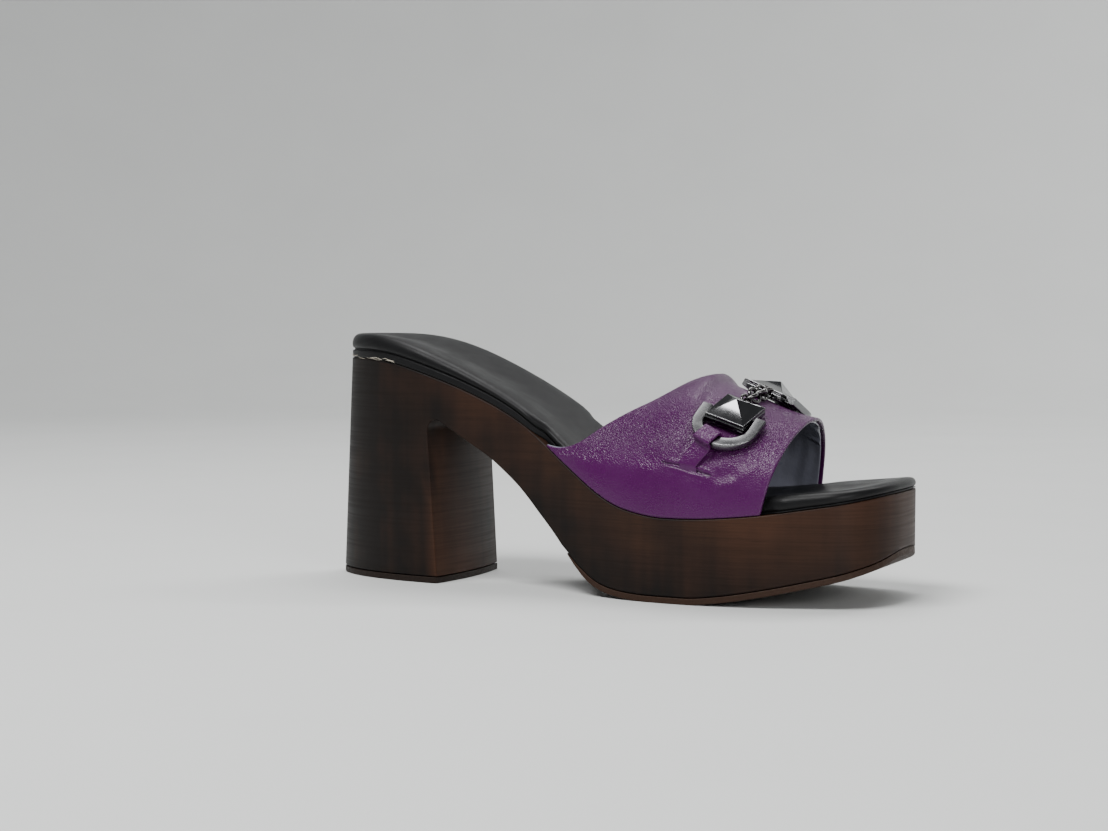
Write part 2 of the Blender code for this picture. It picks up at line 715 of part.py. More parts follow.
def ring_path(side):
    """Centre line of a ring: an arm down each side of the stud, joined by half an oval."""
    half = (RING_LENGTH - RING_BAND) / 2
    along = half * np.cos(np.linspace(0, math.pi, RING_STEPS + 1))
    bow = np.stack([along, ring_bar(along), 0 * along], -1)
    top = np.array([[half, RING_TOP[side], 0], [half, RING_ARM / 2, 0]])
    return np.concatenate([top, bow, top[::-1] * (-1, 1, 1)]) + (0, 0, RING_LIFT)


def make_ring(side, name, material):
    grid = tube(ring_path(side), box_section(RING_BAND, RING_THICKNESS, RING_THICKNESS / 6), False)
    return solid(name, [placed(part, ring_frame(side)) for part in capped(grid)], material)


def tab_frame(side):
    """The ring's axes at the place on its bar where the tab crosses it, turned square to it."""
    origin, forward, down, out = ring_frame(side)
    bar = ring_bar(TAB_OFFSET)
    origin = origin + forward * TAB_OFFSET + down * bar
    forward, down = (forward * math.cos(TAB_TURN) + down * math.sin(TAB_TURN),
                     down * math.cos(TAB_TURN) - forward * math.sin(TAB_TURN))
    return origin, forward, down, out


def tab_path(side):
    """Centre line of a tab and the direction of its width at each point: up inside the ring,
    over the ring's bar, and straight down to a slit on the vamp's side."""
    half = TAB_THICKNESS / 2 + GAP
    near, far = -RING_BAND / 2 - half - TAB_SLACK, RING_BAND / 2 + half
    crown = RING_LIFT + RING_THICKNESS / 2 + half
    under = RING_LIFT - RING_THICKNESS / 2
    ease = 0.8 * half
    rows = [(near, under - half), (near, crown - ease), (near + ease, crown), (0, crown),
            (far - ease, crown), (far, crown - ease), (far, under)]
    frame = tab_frame(side)
    loop_round = placed(np.array([(0, down, height) for down, height in rows]), frame)
    places = TAB_FOOT_ACROSS[side] - np.array(TAB_FOOT_STEPS[side]) * side
    foot = vamp_point(TAB_FOOT_ALONG, places, np.full(3, half))
    ahead = vamp_point(TAB_FOOT_ALONG + 1e-3, places) - vamp_point(TAB_FOOT_ALONG, places)
    ahead /= np.linalg.norm(ahead, axis=1)[:, None]
    widths = np.concatenate([np.tile(frame[1], (len(rows), 1)), ahead])
    return np.concatenate([loop_round, foot]), widths


def make_tab(side, name, material):
    """Leather tab: a flat band carried along its path."""
    path, width = tab_path(side)
    ahead = np.gradient(path, axis=0)
    out = np.cross(ahead, width)
    out /= np.linalg.norm(out, axis=1)[:, None]
    section = np.array([(-1, -1), (1, -1), (1, 1), (-1, 1), (-1, -1)]) / 2
    grid = path[:, None] + width[:, None] * section[:, :1] * TAB_WIDTH
    grid = grid + out[:, None] * section[:, 1:] * TAB_THICKNESS
    ends = [np.stack([end[:2], end[3:1:-1]]) for end in (grid[0], grid[-1])]
    return solid(name, [grid] + ends, material)


def clear_scene():
    for old in list(bpy.data.objects):
        bpy.data.objects.remove(old)
    for name in ("clog_sandal", "cutters"):
        made = bpy.data.collections.new(name)
        bpy.context.scene.collection.children.link(made)
    bpy.data.collections["cutters"].hide_render = True


def material(name, colour, roughness, metallic=0.0):
    made = bpy.data.materials.new(name)
    made.use_nodes = True
    shader = made.node_tree.nodes["Principled BSDF"]
    shader.inputs["Base Color"].default_value = (*colour, 1)
    shader.inputs["Roughness"].default_value = roughness
    shader.inputs["Metallic"].default_value = metallic
    return made


def main():
    clear_scene()
    make_wooden_sole(material("burnished_wood", (0.045, 0.022, 0.014), 0.45))
    make_outsole(material("tread_rubber", (0.05, 0.02, 0.012), 0.6))
    make_heel_top_piece(material("heel_rubber", (0.05, 0.025, 0.015), 0.6))
    make_insole(material("black_footbed", (0.012, 0.012, 0.013), 0.5))
    make_vamp(material("purple_leather", (0.10, 0.018, 0.13), 0.42))
    gunmetal = (0.10, 0.10, 0.10)
    for side, name in ((-1, "lateral"), (1, "medial")):
        make_stud(side, f"stud_{name}", material(f"stud_{name}_metal", gunmetal, 0.3, 1.0))
        make_ring(side, f"ring_{name}", material(f"ring_{name}_metal", (0.28, 0.28, 0.28), 0.3, 1.0))
        make_tab(side, f"tab_{name}", material(f"tab_{name}_leather", (0.10, 0.018, 0.13), 0.42))
    for place in range(1, LINKS + 1):
        make_link(place, material(f"chain_link_{place}_metal", (0.35, 0.34, 0.33), 0.25, 1.0))


main()
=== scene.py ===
"""Looks of the clog sandal for the right foot: a burnished wood-look unit with a block heel, a padded
black footbed, a purple leather vamp with a crinkled lining, and a gunmetal ornament.

Metres. The shape functions are the part's own: they measure X from the foot of the heel's back, and
every mesh is then moved back by ORIGIN_FROM_BACK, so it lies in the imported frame.
"""

import json
import math

import bmesh
import bpy
import numpy as np
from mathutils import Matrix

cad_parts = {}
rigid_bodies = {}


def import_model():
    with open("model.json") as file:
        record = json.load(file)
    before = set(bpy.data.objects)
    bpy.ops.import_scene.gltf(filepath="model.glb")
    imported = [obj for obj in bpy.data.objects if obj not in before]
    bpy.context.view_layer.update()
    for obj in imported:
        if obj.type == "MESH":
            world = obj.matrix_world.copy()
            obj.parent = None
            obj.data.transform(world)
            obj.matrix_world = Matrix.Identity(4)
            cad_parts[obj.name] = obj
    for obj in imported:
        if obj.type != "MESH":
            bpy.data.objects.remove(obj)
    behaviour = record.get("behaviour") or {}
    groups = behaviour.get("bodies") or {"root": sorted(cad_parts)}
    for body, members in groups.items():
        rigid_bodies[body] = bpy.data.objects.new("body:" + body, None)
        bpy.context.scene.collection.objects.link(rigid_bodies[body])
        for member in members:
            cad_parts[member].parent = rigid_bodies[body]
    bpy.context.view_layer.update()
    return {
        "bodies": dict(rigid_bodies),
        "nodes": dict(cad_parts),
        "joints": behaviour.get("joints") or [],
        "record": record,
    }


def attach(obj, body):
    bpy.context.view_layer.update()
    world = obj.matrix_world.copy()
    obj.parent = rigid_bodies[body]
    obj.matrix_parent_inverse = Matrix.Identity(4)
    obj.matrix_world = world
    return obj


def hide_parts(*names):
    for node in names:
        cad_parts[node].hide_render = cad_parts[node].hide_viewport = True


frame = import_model()

# Sole unit
LENGTH = 0.2354
ORIGIN_FROM_BACK = 0.030
SEAT_WIDTH = 0.056
WAIST_WIDTH = 0.053
BALL_WIDTH = 0.0805
TOE_WIDTH = 0.064
HEEL_ROUND = 0.052
TOE_ROUND = 0.021
SWING = 0.0040
SEAT_HEIGHT = 0.0875
PLATFORM_HEIGHT = 0.0310
TOE_HEIGHT = 0.0408
SHANK_HEIGHT = 0.0640
TOE_SPRING = 0.0164
WALL_TAPER = 0.0012

# Heel block
HEEL_DEPTH = 0.056
BACK_LEAN = 0.0045
BREAST_LEAN = 0.0037
BREAST_FILLET = 0.0042
BREAST_BULGE = 0.0028

# Layers on and under the unit
OUTSOLE_THICKNESS = 0.0023
OUTSOLE_START = 0.112
OUTSOLE_FEATHER = 0.010
OUTSOLE_LIP = 0.25
TOP_PIECE_THICKNESS = 0.0024
BOARD_THICKNESS = 0.0032
INSOLE_SEAT_THICKNESS = 0.0098
INSOLE_BALL_THICKNESS = 0.0064
INSOLE_TIP_THICKNESS = 0.0047
INSOLE_THINS = (0.10, 0.42)
INSOLE_TIP_THINS = (0.82, 1.0)
INSOLE_ROLL = 0.0055
INSOLE_DISH = 0.0016
FOOTBED_CLEARANCE = 0.0012
GAP = 0.0003

# Vamp
VAMP_WALL = 0.0022
INSTEP_HEIGHT = 0.0825
VAMP_MOUTH_HEIGHT = 0.0660
VAMP_SIDE_HEIGHT = 0.0780
VAMP_FULLNESS = 2.2
CREST_SHIFT = 0.0080
MOUTH_SHIFT = -0.0020
VAMP_LEDGE = 0.0003

# Ornament. Where a size differs from side to side, -1 is the outer side and 1 the inner one.
STUD_LENGTH = 0.0162
STUD_WIDTH = 0.0162
STUD_PLATE = 0.0036
STUD_PYRAMID = 0.0046
STUD_SPACING = 0.0225
ORNAMENT_ALONG = 0.7625 * LENGTH
ORNAMENT_ACROSS = 0.458
ORNAMENT_LEAN = {-1: math.radians(-5.5), 1: math.radians(-3.5)}
ORNAMENT_TILT = {-1: math.radians(6), 1: 0.0}
ORNAMENT_TURN = {-1: math.radians(0), 1: math.radians(6)}
EYE_RADIUS = 0.0022
EYE_WIRE = 0.00055
EYE_SINK = 0.0009
LINKS = 5
LINK_WIRE = 0.00070
LINK_GAP = 0.0006
LINK_LIFT = 0.00295
RING_LENGTH = 0.0256
RING_DEPTH = 0.0113
RING_ARM = 0.0065
RING_BAND = 0.0040
RING_THICKNESS = 0.0028
RING_LIFT = 0.0024
RING_TOP = {-1: 0.0, 1: -0.0045}
RING_DROOP = {-1: math.radians(14.5), 1: math.radians(6)}
RING_TURN = math.radians(4)
TAB_WIDTH = 0.0074
TAB_THICKNESS = 0.0011
TAB_OFFSET = -0.0033
TAB_TURN = math.radians(15)
TAB_SLACK = 0.0007
TAB_FOOT_ALONG = 0.7035 * LENGTH
TAB_FOOT_ACROSS = {-1: 0.107, 1: 0.893}
TAB_FOOT_STEPS = {-1: (0.018, 0.009, 0.0), 1: (0.050, 0.018, 0.0)}

# How finely the curved pieces are cut
HEEL_STATIONS = 16
WAIST_STATIONS = 56
TOE_STATIONS = 14
ACROSS_STEPS = 12
WALL_ROWS = 3
HEEL_ROWS = 4
FILLET_ROWS = 3
VAMP_ACROSS = 30
VAMP_ALONG = 12
RING_STEPS = 72
WIRE_SIDES = 16
WIRE_STEPS = 40

# Cut of the dressed pieces, finer than the solids', and sizes that only the dressing has
WOOD_EASING = 0.0006
LAYER_EASING = 0.0003
CAP_EASING = 0.00022
LEATHER = 0.00135
FOOTBED_ROWS = 44
SHELL_ACROSS = 270
SHELL_ALONG = 140
SHELL_RIM = 10
FOOT_FADE = 40
FRAYED_THREADS = 12
BOARD_FADE = 0.86
BOARD_FADES = (0.34, 0.62)



def table(columns, *rows):
    """A short table of shares: one array for each named column."""
    return dict(zip(columns.split(), np.array(rows).T))


# Plan of the unit: how far along the length, which named widths the width is made of,
# and where its centre line runs as a share of SWING.
PLAN = table(
    "along seat waist ball toe centre",
    (0.000, 1.00, 0.00, 0.00, 0.00, 0.00),
    (0.173, 1.00, 0.00, 0.00, 0.00, -0.05),
    (0.275, 0.50, 0.50, 0.00, 0.00, -0.45),
    (0.387, 0.00, 1.00, 0.00, 0.00, -0.85),
    (0.510, 0.00, 0.66, 0.34, 0.00, -1.00),
    (0.632, 0.00, 0.15, 0.85, 0.00, -0.80),
    (0.734, 0.00, 0.00, 1.00, 0.00, -0.55),
    (0.815, 0.00, 0.00, 0.92, 0.08, -0.25),
    (0.897, 0.00, 0.00, 0.50, 0.50, 0.05),
    (1.000, 0.00, 0.00, 0.00, 1.00, 0.50),
)

# Top line of the unit, seen from the side: 1 is the seat's height in the drop column and the
# toe's height in the rise column, and 0 is the platform's height in both.
TOP_LINE = table(
    "along drop rise",
    (0.000, 1.000, 0.000),
    (0.085, 0.997, 0.000),
    (0.144, 0.972, 0.000),
    (0.199, 0.918, 0.000),
    (0.262, 0.835, 0.000),
    (0.309, 0.760, 0.000),
    (0.356, 0.672, 0.000),
    (0.397, 0.578, 0.000),
    (0.431, 0.478, 0.000),
    (0.465, 0.366, 0.000),
    (0.499, 0.262, 0.000),
    (0.533, 0.161, 0.000),
    (0.575, 0.069, 0.000),
    (0.618, 0.022, 0.000),
    (0.668, 0.000, 0.000),
    (0.728, 0.000, 0.030),
    (0.816, 0.000, 0.220),
    (0.879, 0.000, 0.450),
    (0.947, 0.000, 0.720),
    (1.000, 0.000, 1.000),
)

# Under line, from the breast of the heel (along = 0) to the toe tip (1): the arch column is a
# share of SHANK_HEIGHT and the spring column a share of TOE_SPRING.
UNDER_LINE = table(
    "along arch spring",
    (0.000, 1.000, 0.000),
    (0.025, 0.962, 0.000),
    (0.078, 0.872, 0.000),
    (0.135, 0.776, 0.000),
    (0.172, 0.694, 0.000),
    (0.200, 0.625, 0.000),
    (0.227, 0.547, 0.000),
    (0.254, 0.464, 0.000),
    (0.283, 0.379, 0.000),
    (0.310, 0.292, 0.000),
    (0.334, 0.208, 0.000),
    (0.358, 0.132, 0.000),
    (0.384, 0.073, 0.000),
    (0.413, 0.036, 0.000),
    (0.449, 0.014, 0.000),
    (0.490, 0.003, 0.000),
    (0.530, 0.000, 0.000),
    (0.605, 0.000, 0.000),
    (0.675, 0.000, 0.070),
    (0.759, 0.000, 0.230),
    (0.848, 0.000, 0.440),
    (0.942, 0.000, 0.710),
    (0.985, 0.000, 0.925),
    (1.000, 0.000, 1.080),
)

# Free edges of the vamp, from the outer foot (across = 0) over the instep (0.5) to the inner
# foot (1), as shares of LENGTH.
VAMP_EDGES = table(
    "across throat front",
    (0.00, 0.445, 0.821),
    (0.03, 0.465, 0.825),
    (0.10, 0.500, 0.833),
    (0.20, 0.538, 0.844),
    (0.30, 0.585, 0.852),
    (0.40, 0.640, 0.856),
    (0.50, 0.681, 0.855),
    (0.60, 0.651, 0.847),
    (0.70, 0.593, 0.837),
    (0.80, 0.541, 0.827),
    (0.90, 0.501, 0.817),
    (0.97, 0.466, 0.811),
    (1.00, 0.447, 0.808),
)

# Ridge of the vamp, along the length: 1 in the instep column is the instep's height, in the
# mouth column the mouth's, and in the side column that of the quarters behind the throat.
RIDGE = table(
    "along instep mouth side",
    (0.448, 0.000, 0.000, 1.000),
    (0.591, 0.000, 0.000, 1.000),
    (0.681, 1.000, 0.000, 0.000),
    (0.699, 0.790, 0.210, 0.000),
    (0.724, 0.640, 0.360, 0.000),
    (0.766, 0.400, 0.600, 0.000),
    (0.812, 0.160, 0.840, 0.000),
    (0.866, 0.000, 1.000, 0.000),
)

# Steps of a stud, from its foot up: shares of half its length and width, of its plate and of
# its pyramid.
STUD_STEPS = table(
    "spread plate pyramid",
    (0.94, 0.00, 0.00),
    (1.00, 0.18, 0.00),
    (1.00, 0.86, 0.00),
    (0.97, 1.00, 0.00),
    (0.94, 1.00, 0.00),
    (0.03, 1.00, 1.00),
)


def smooth(at, xs, ys):
    """Monotone cubic through the rows of a table: no overshoot between rows."""
    widths = np.diff(xs)
    slopes = np.diff(ys) / widths
    tangents = np.concatenate([slopes[:1], (slopes[1:] + slopes[:-1]) / 2, slopes[-1:]])
    turning = slopes[1:] * slopes[:-1] <= 0
    tangents[1:-1][turning] = 0
    before = np.abs(np.insert(slopes, 0, slopes[0]))
    after = np.abs(np.append(slopes, slopes[-1]))
    limit = 3 * np.minimum(before, after)
    tangents = np.clip(tangents, -limit, limit)
    at = np.clip(at, xs[0], xs[-1])
    k = np.clip(np.searchsorted(xs, at, side="right") - 1, 0, len(widths) - 1)
    t = (at - xs[k]) / widths[k]
    rise = ys[k] + (3 * t**2 - 2 * t**3) * (ys[k + 1] - ys[k])
    return rise + widths[k] * t * (1 - t) * ((1 - t) * tangents[k] - t * tangents[k + 1])


def made_of(rows, at, **sizes):
    """Sum of named sizes, each weighted by the column of its name."""
    return sum(size * smooth(at, rows["along"], rows[name]) for name, size in sizes.items())


def centre_line(x):
    return SWING * smooth(x / LENGTH, PLAN["along"], PLAN["centre"])


def half_width(x):
    """Half the unit's width at its top: the plan's width, closed by an ellipse round the heel
    and by a squarer one round the toe."""
    width = made_of(PLAN, x / LENGTH, seat=SEAT_WIDTH, waist=WAIST_WIDTH, ball=BALL_WIDTH, toe=TOE_WIDTH)
    from_back = np.clip((x - BACK_LEAN) / HEEL_ROUND, 0, 1)
    to_tip = np.clip((x - LENGTH + TOE_ROUND) / TOE_ROUND, 0, 1)
    heel_end = np.sqrt(1 - (1 - from_back) ** 2)
    toe_end = (1 - to_tip**2.5) ** (1 / 2.5)
    return width / 2 * heel_end * toe_end


def tapered_half_width(x, depth):
    """The walls draw in towards the floor: half the width at this depth under the top."""
    half = half_width(x)
    return half - WALL_TAPER * depth / SEAT_HEIGHT * np.clip(4 * half / WAIST_WIDTH, 0, 1)


def top_height(x):
    drop = SEAT_HEIGHT - PLATFORM_HEIGHT
    return PLATFORM_HEIGHT + made_of(TOP_LINE, x / LENGTH, drop=drop, rise=TOE_HEIGHT - PLATFORM_HEIGHT)


def under_height(x):
    """Underside of the shoe, outsole included, in front of the heel."""
    along = (x - HEEL_DEPTH) / (LENGTH - HEEL_DEPTH)
    return made_of(UNDER_LINE, along, arch=SHANK_HEIGHT, spring=TOE_SPRING)


def outsole_share(x):
    """How much of its thickness the outsole has: it feathers in behind the ball."""
    return np.clip((x - OUTSOLE_START) / OUTSOLE_FEATHER, 0, 1)


def wood_under_height(x):
    share = outsole_share(x)
    return under_height(x) + OUTSOLE_THICKNESS * share + GAP * np.minimum(share / OUTSOLE_LIP, 1)


def stations(start, end, taper_start, taper_end):
    """Places along the shoe, closing up towards a rounded end as a circle's points do."""
    spans = []
    if taper_start:
        angles = np.linspace(0, math.pi / 2, HEEL_STATIONS + 1)[:-1]
        spans.append(start + taper_start * (1 - np.cos(angles)))
    steps = WAIST_STATIONS if taper_end else HEEL_STATIONS // 2
    spans.append(np.linspace(start + taper_start, end - taper_end, steps + 1))
    if taper_end:
        angles = np.linspace(0, math.pi / 2, TOE_STATIONS + 1)[1:]
        spans.append(end - taper_end * (1 - np.sin(angles)))
    return np.concatenate(spans)


def body_stations():
    """Stations of the platform, with one where the outsole's lip starts and one where it is whole."""
    lip = OUTSOLE_START + OUTSOLE_LIP * OUTSOLE_FEATHER
    marks = (OUTSOLE_START, lip, OUTSOLE_START + OUTSOLE_FEATHER)
    return np.unique(np.concatenate([stations(HEEL_DEPTH, LENGTH, 0, TOE_ROUND), marks]).round(7))


def grid_faces(rows, columns):
    """Quads of a grid whose points are numbered row by row."""
    first = np.arange(rows - 1)[:, None] * columns + np.arange(columns - 1)
    return np.stack([first, first + 1, first + columns + 1, first + columns], -1).reshape(-1, 4)


def loop(lateral, medial):
    """Closed outline: forward along the outer side and back along the inner one."""
    return np.concatenate([lateral, medial[-2:0:-1]])


def rungs(ring, sag=None):
    """Grid that fills an outline made by loop(), from its outer to its inner side."""
    half = len(ring) // 2 + 1
    lateral = ring[:half]
    medial = np.concatenate([ring[:1], ring[:half - 1:-1], ring[half - 1:half]])
    across = np.linspace(0, 1, ACROSS_STEPS + 1)
    grid = lateral[:, None] * (1 - across)[:, None] + medial[:, None] * across[:, None]
    if sag is not None:
        grid[..., 2] -= sag(grid[..., 0]) * np.sin(math.pi * across) ** 2
    return grid


def plan_loop(x, inset, height):
    """The unit's outline at these stations, moved inwards by inset, at the given height."""
    half, centre = half_width(x), centre_line(x)
    ring = loop(np.stack([x, centre - half], -1), np.stack([x, centre + half], -1))
    ahead = np.roll(ring, -1, 0) - np.roll(ring, 1, 0)
    inward = np.stack([-ahead[:, 1], ahead[:, 0]], -1)
    inward /= np.linalg.norm(inward, axis=1)[:, None]
    if np.ndim(inset):
        inset = loop(inset, inset)[:, None]
    ring = ring + inward * inset
    return np.column_stack([ring, height(ring[:, 0])])


def wood_point(x, row, across):
    """Point of the wooden unit. row counts down from its top: up to WALL_ROWS it runs to the
    underside, and beyond that down the heel. across is 0 on the outer side and 1 on the inner."""
    x, row, across = np.broadcast_arrays(np.asarray(x, float), row, across)
    top = top_height(x)
    heel = x < HEEL_DEPTH + GAP / 2
    middle = np.where(heel, wood_under_height(HEEL_DEPTH), wood_under_height(x))
    floor = TOP_PIECE_THICKNESS + GAP
    below = np.clip(row - WALL_ROWS, 0, HEEL_ROWS + FILLET_ROWS)
    fillet_turn = np.clip(below / FILLET_ROWS, 0, 1) * math.pi / 2
    fillet_z = BREAST_FILLET * (1 - np.cos(fillet_turn))
    straight = np.clip((below - FILLET_ROWS) / HEEL_ROWS, 0, 1)
    z = top + (middle - top) * np.clip(row / WALL_ROWS, 0, 1)
    z = z - fillet_z - straight * (middle - BREAST_FILLET - floor)
    forward = np.clip((x - BACK_LEAN) / (HEEL_DEPTH - BACK_LEAN), 0, 1)
    back = -BACK_LEAN * (1 - z / SEAT_HEIGHT)
    breast = -BREAST_FILLET * np.sin(fillet_turn) + BREAST_LEAN * straight
    bulge = BREAST_BULGE * 4 * across * (1 - across) * np.clip(below / FILLET_ROWS, 0, 1)
    side = x + forward**2 * breast * heel
    half = tapered_half_width(side, top - z)
    shift = (1 - forward) * back * heel + forward**2 * bulge * heel
    y = centre_line(side) - half + 2 * half * across
    return np.stack([side + shift, y, z], -1)


def eased(at, start, end):
    """0 before start and 1 after end, with a soft step between them."""
    share = np.clip((at - start) / (end - start), 0, 1)
    return share * share * (3 - 2 * share)


def insole_thickness(x):
    ball = eased(x / LENGTH, *INSOLE_THINS) * (INSOLE_BALL_THICKNESS - INSOLE_SEAT_THICKNESS)
    tip = eased(x / LENGTH, *INSOLE_TIP_THINS) * (INSOLE_TIP_THICKNESS - INSOLE_BALL_THICKNESS)
    return INSOLE_SEAT_THICKNESS + ball + tip


def under_vamp(x, across):
    """1 where the vamp's foot stands on the unit's rim, easing to 0 past its ends."""
    edges = VAMP_EDGES
    back = smooth(across, edges["across"], edges["throat"]) * LENGTH
    front = smooth(across, edges["across"], edges["front"]) * LENGTH
    ease = VAMP_WALL + FOOTBED_CLEARANCE
    inside = np.minimum(x - back + 2 * ease, front + 2 * ease - x) / ease
    return np.clip(inside, 0, 1)


def insole_inset(x):
    outer = under_vamp(x, 0.0)
    inner = under_vamp(x, 1.0)
    return (VAMP_LEDGE + VAMP_WALL + FOOTBED_CLEARANCE) * np.maximum(outer, inner)


def vamp_point(x, across, lift=0.0):
    """Point of the vamp's outer face: a fuller arch than an ellipse, from the unit's outer rim
    over the ridge to its inner rim. lift moves it out along the arch's own normal."""
    x, across = np.broadcast_arrays(np.asarray(x, float), across)
    turn = math.pi * across
    half = half_width(x) - VAMP_LEDGE
    foot = top_height(x) + GAP
    ridge = made_of(RIDGE, x / LENGTH, instep=INSTEP_HEIGHT, mouth=VAMP_MOUTH_HEIGHT, side=VAMP_SIDE_HEIGHT)
    power = 2 / VAMP_FULLNESS
    cosine, sine = np.cos(turn), np.sin(turn)
    shift = made_of(RIDGE, x / LENGTH, instep=CREST_SHIFT, mouth=MOUTH_SHIFT, side=CREST_SHIFT)
    y = centre_line(x) - half * np.sign(cosine) * np.abs(cosine) ** power + shift * sine**2
    z = foot + (ridge - foot) * np.abs(sine) ** power
    point = np.stack([x, y, z], -1)
    if np.any(lift):
        point = point + vamp_normal(x, across) * np.asarray(lift)[..., None]
    return point


def vamp_normal(x, across):
    """Unit normal of the vamp's outer face, from differences along and across it."""
    step, turn = 1e-4, 1e-4
    along = vamp_point(x + step, across) - vamp_point(x - step, across)
    round_it = vamp_point(x, np.clip(across + turn, 0, 1)) - vamp_point(x, np.clip(across - turn, 0, 1))
    normal = np.cross(along, round_it)
    return normal / np.linalg.norm(normal, axis=-1, keepdims=True)


def vamp_frame(reach, side, tilt=0.0):
    """Axes on the vamp at a distance walked down its outer face from the ornament's middle:
    a point of the face, then forward, down the side and outward. side is -1 on the outer side
    of the foot and 1 on the inner. tilt lifts the down axis off the face."""
    shares = np.linspace(ORNAMENT_ACROSS, ORNAMENT_ACROSS + side * 0.5, 400)
    path = vamp_point(ORNAMENT_ALONG, np.clip(shares, 0, 1))
    walked = np.concatenate([[0], np.cumsum(np.linalg.norm(np.diff(path, axis=0), axis=1))])
    across = np.interp(reach * math.cos(ORNAMENT_LEAN[side]), walked, np.clip(shares, 0, 1))
    x = ORNAMENT_ALONG + reach * math.sin(ORNAMENT_LEAN[side])
    out = vamp_normal(x, across)
    forward = vamp_point(x + 1e-4, across) - vamp_point(x, across)
    forward /= np.linalg.norm(forward)
    outer_side = np.cross(forward, out)
    turn = ORNAMENT_TURN[side]
    forward = forward * math.cos(turn) + outer_side * math.sin(turn)
    down = np.cross(forward, out) * -side
    flatter = down * math.cos(tilt) + out * math.sin(tilt)
    return vamp_point(x, across), forward, flatter, out * math.cos(tilt) - down * math.sin(tilt)


def placed(points, frame):
    """Points given as forward, down and outward distances, put into the shoe."""
    origin, forward, down, out = frame
    return origin + points[..., :1] * forward + points[..., 1:2] * down + points[..., 2:3] * out


def tube(path, section, closed):
    """Grid of a section carried along a path: section gives sideways and outward distances."""
    ahead = np.roll(path, -1, 0) - np.roll(path, 1, 0)
    if not closed:
        ahead[0] = path[1] - path[0]
        ahead[-1] = path[-1] - path[-2]
    ahead = ahead / np.linalg.norm(ahead, axis=1)[:, None]
    up = np.array([0.0, 0.0, 1.0])
    sideways = np.cross(ahead, up)
    grid = path[:, None] + sideways[:, None] * section[:, :1] + up * section[:, 1:]
    return np.concatenate([grid, grid[:1]]) if closed else grid


def circle(radius, sides):
    angles = np.linspace(0, 2 * math.pi, sides + 1)
    return np.stack([radius * np.cos(angles), radius * np.sin(angles)], -1)


def stud_frame(side):
    return vamp_frame((STUD_SPACING + STUD_WIDTH) / 2, side, tilt=ORNAMENT_TILT[side])


def torus_grid(radius, wire):
    """Ring of round wire in the forward and down plane."""
    turns = np.linspace(0, 2 * math.pi, WIRE_STEPS + 1)[:-1]
    path = np.stack([radius * np.cos(turns), radius * np.sin(turns), 0 * turns], -1)
    return tube(path, circle(wire, WIRE_SIDES), True)


def rolled(points, angle):
    """Points turned about the down axis, as the links of a chain stand."""
    c, s = math.cos(angle), math.sin(angle)
    return np.stack([points[..., 0] * c + points[..., 2] * s, points[..., 1],
                     points[..., 2] * c - points[..., 0] * s], -1)


def link_radius():
    """Radius of a link, so that LINKS of them and the two eyes just span the studs' spacing."""
    span = STUD_SPACING - 2 * EYE_SINK
    ends = 2 * (EYE_RADIUS - EYE_WIRE - LINK_WIRE - LINK_GAP)
    fixed = ends - (LINKS - 1) * (2 * LINK_WIRE + LINK_GAP)
    return (span - fixed) / (2 * LINKS)


def link_roll(place):
    """Neighbours in the chain stand crosswise, each half way between flat and upright."""
    return math.radians(45) * (-1) ** place


def ring_frame(side):
    """The stud's axes, drooping towards the vamp's foot and turned a little in their plane."""
    origin, forward, down, out = stud_frame(side)
    droop = RING_DROOP[side]
    down, out = (down * math.cos(droop) - out * math.sin(droop),
                 out * math.cos(droop) + down * math.sin(droop))
    forward, down = (forward * math.cos(RING_TURN) - down * math.sin(RING_TURN),
                     down * math.cos(RING_TURN) + forward * math.sin(RING_TURN))
    return origin, forward, down, out


def ring_bar(along):
    """How far down its axis a ring's centre line lies, at a place along its bow."""
    half = (RING_LENGTH - RING_BAND) / 2
    return RING_ARM + (RING_DEPTH - RING_BAND / 2) * np.sqrt(1 - (along / half) ** 2)


def ring_path(side):
    """Centre line of a ring: an arm down each side of the stud, joined by half an oval."""
    half = (RING_LENGTH - RING_BAND) / 2
    along = half * np.cos(np.linspace(0, math.pi, RING_STEPS + 1))
    bow = np.stack([along, ring_bar(along), 0 * along], -1)
    top = np.array([[half, RING_TOP[side], 0], [half, RING_ARM / 2, 0]])
    return np.concatenate([top, bow, top[::-1] * (-1, 1, 1)]) + (0, 0, RING_LIFT)


def tab_frame(side):
    """The ring's axes at the place on its bar where the tab crosses it, turned square to it."""
    origin, forward, down, out = ring_frame(side)
    bar = ring_bar(TAB_OFFSET)
    origin = origin + forward * TAB_OFFSET + down * bar
    forward, down = (forward * math.cos(TAB_TURN) + down * math.sin(TAB_TURN),
                     down * math.cos(TAB_TURN) - forward * math.sin(TAB_TURN))
    return origin, forward, down, out


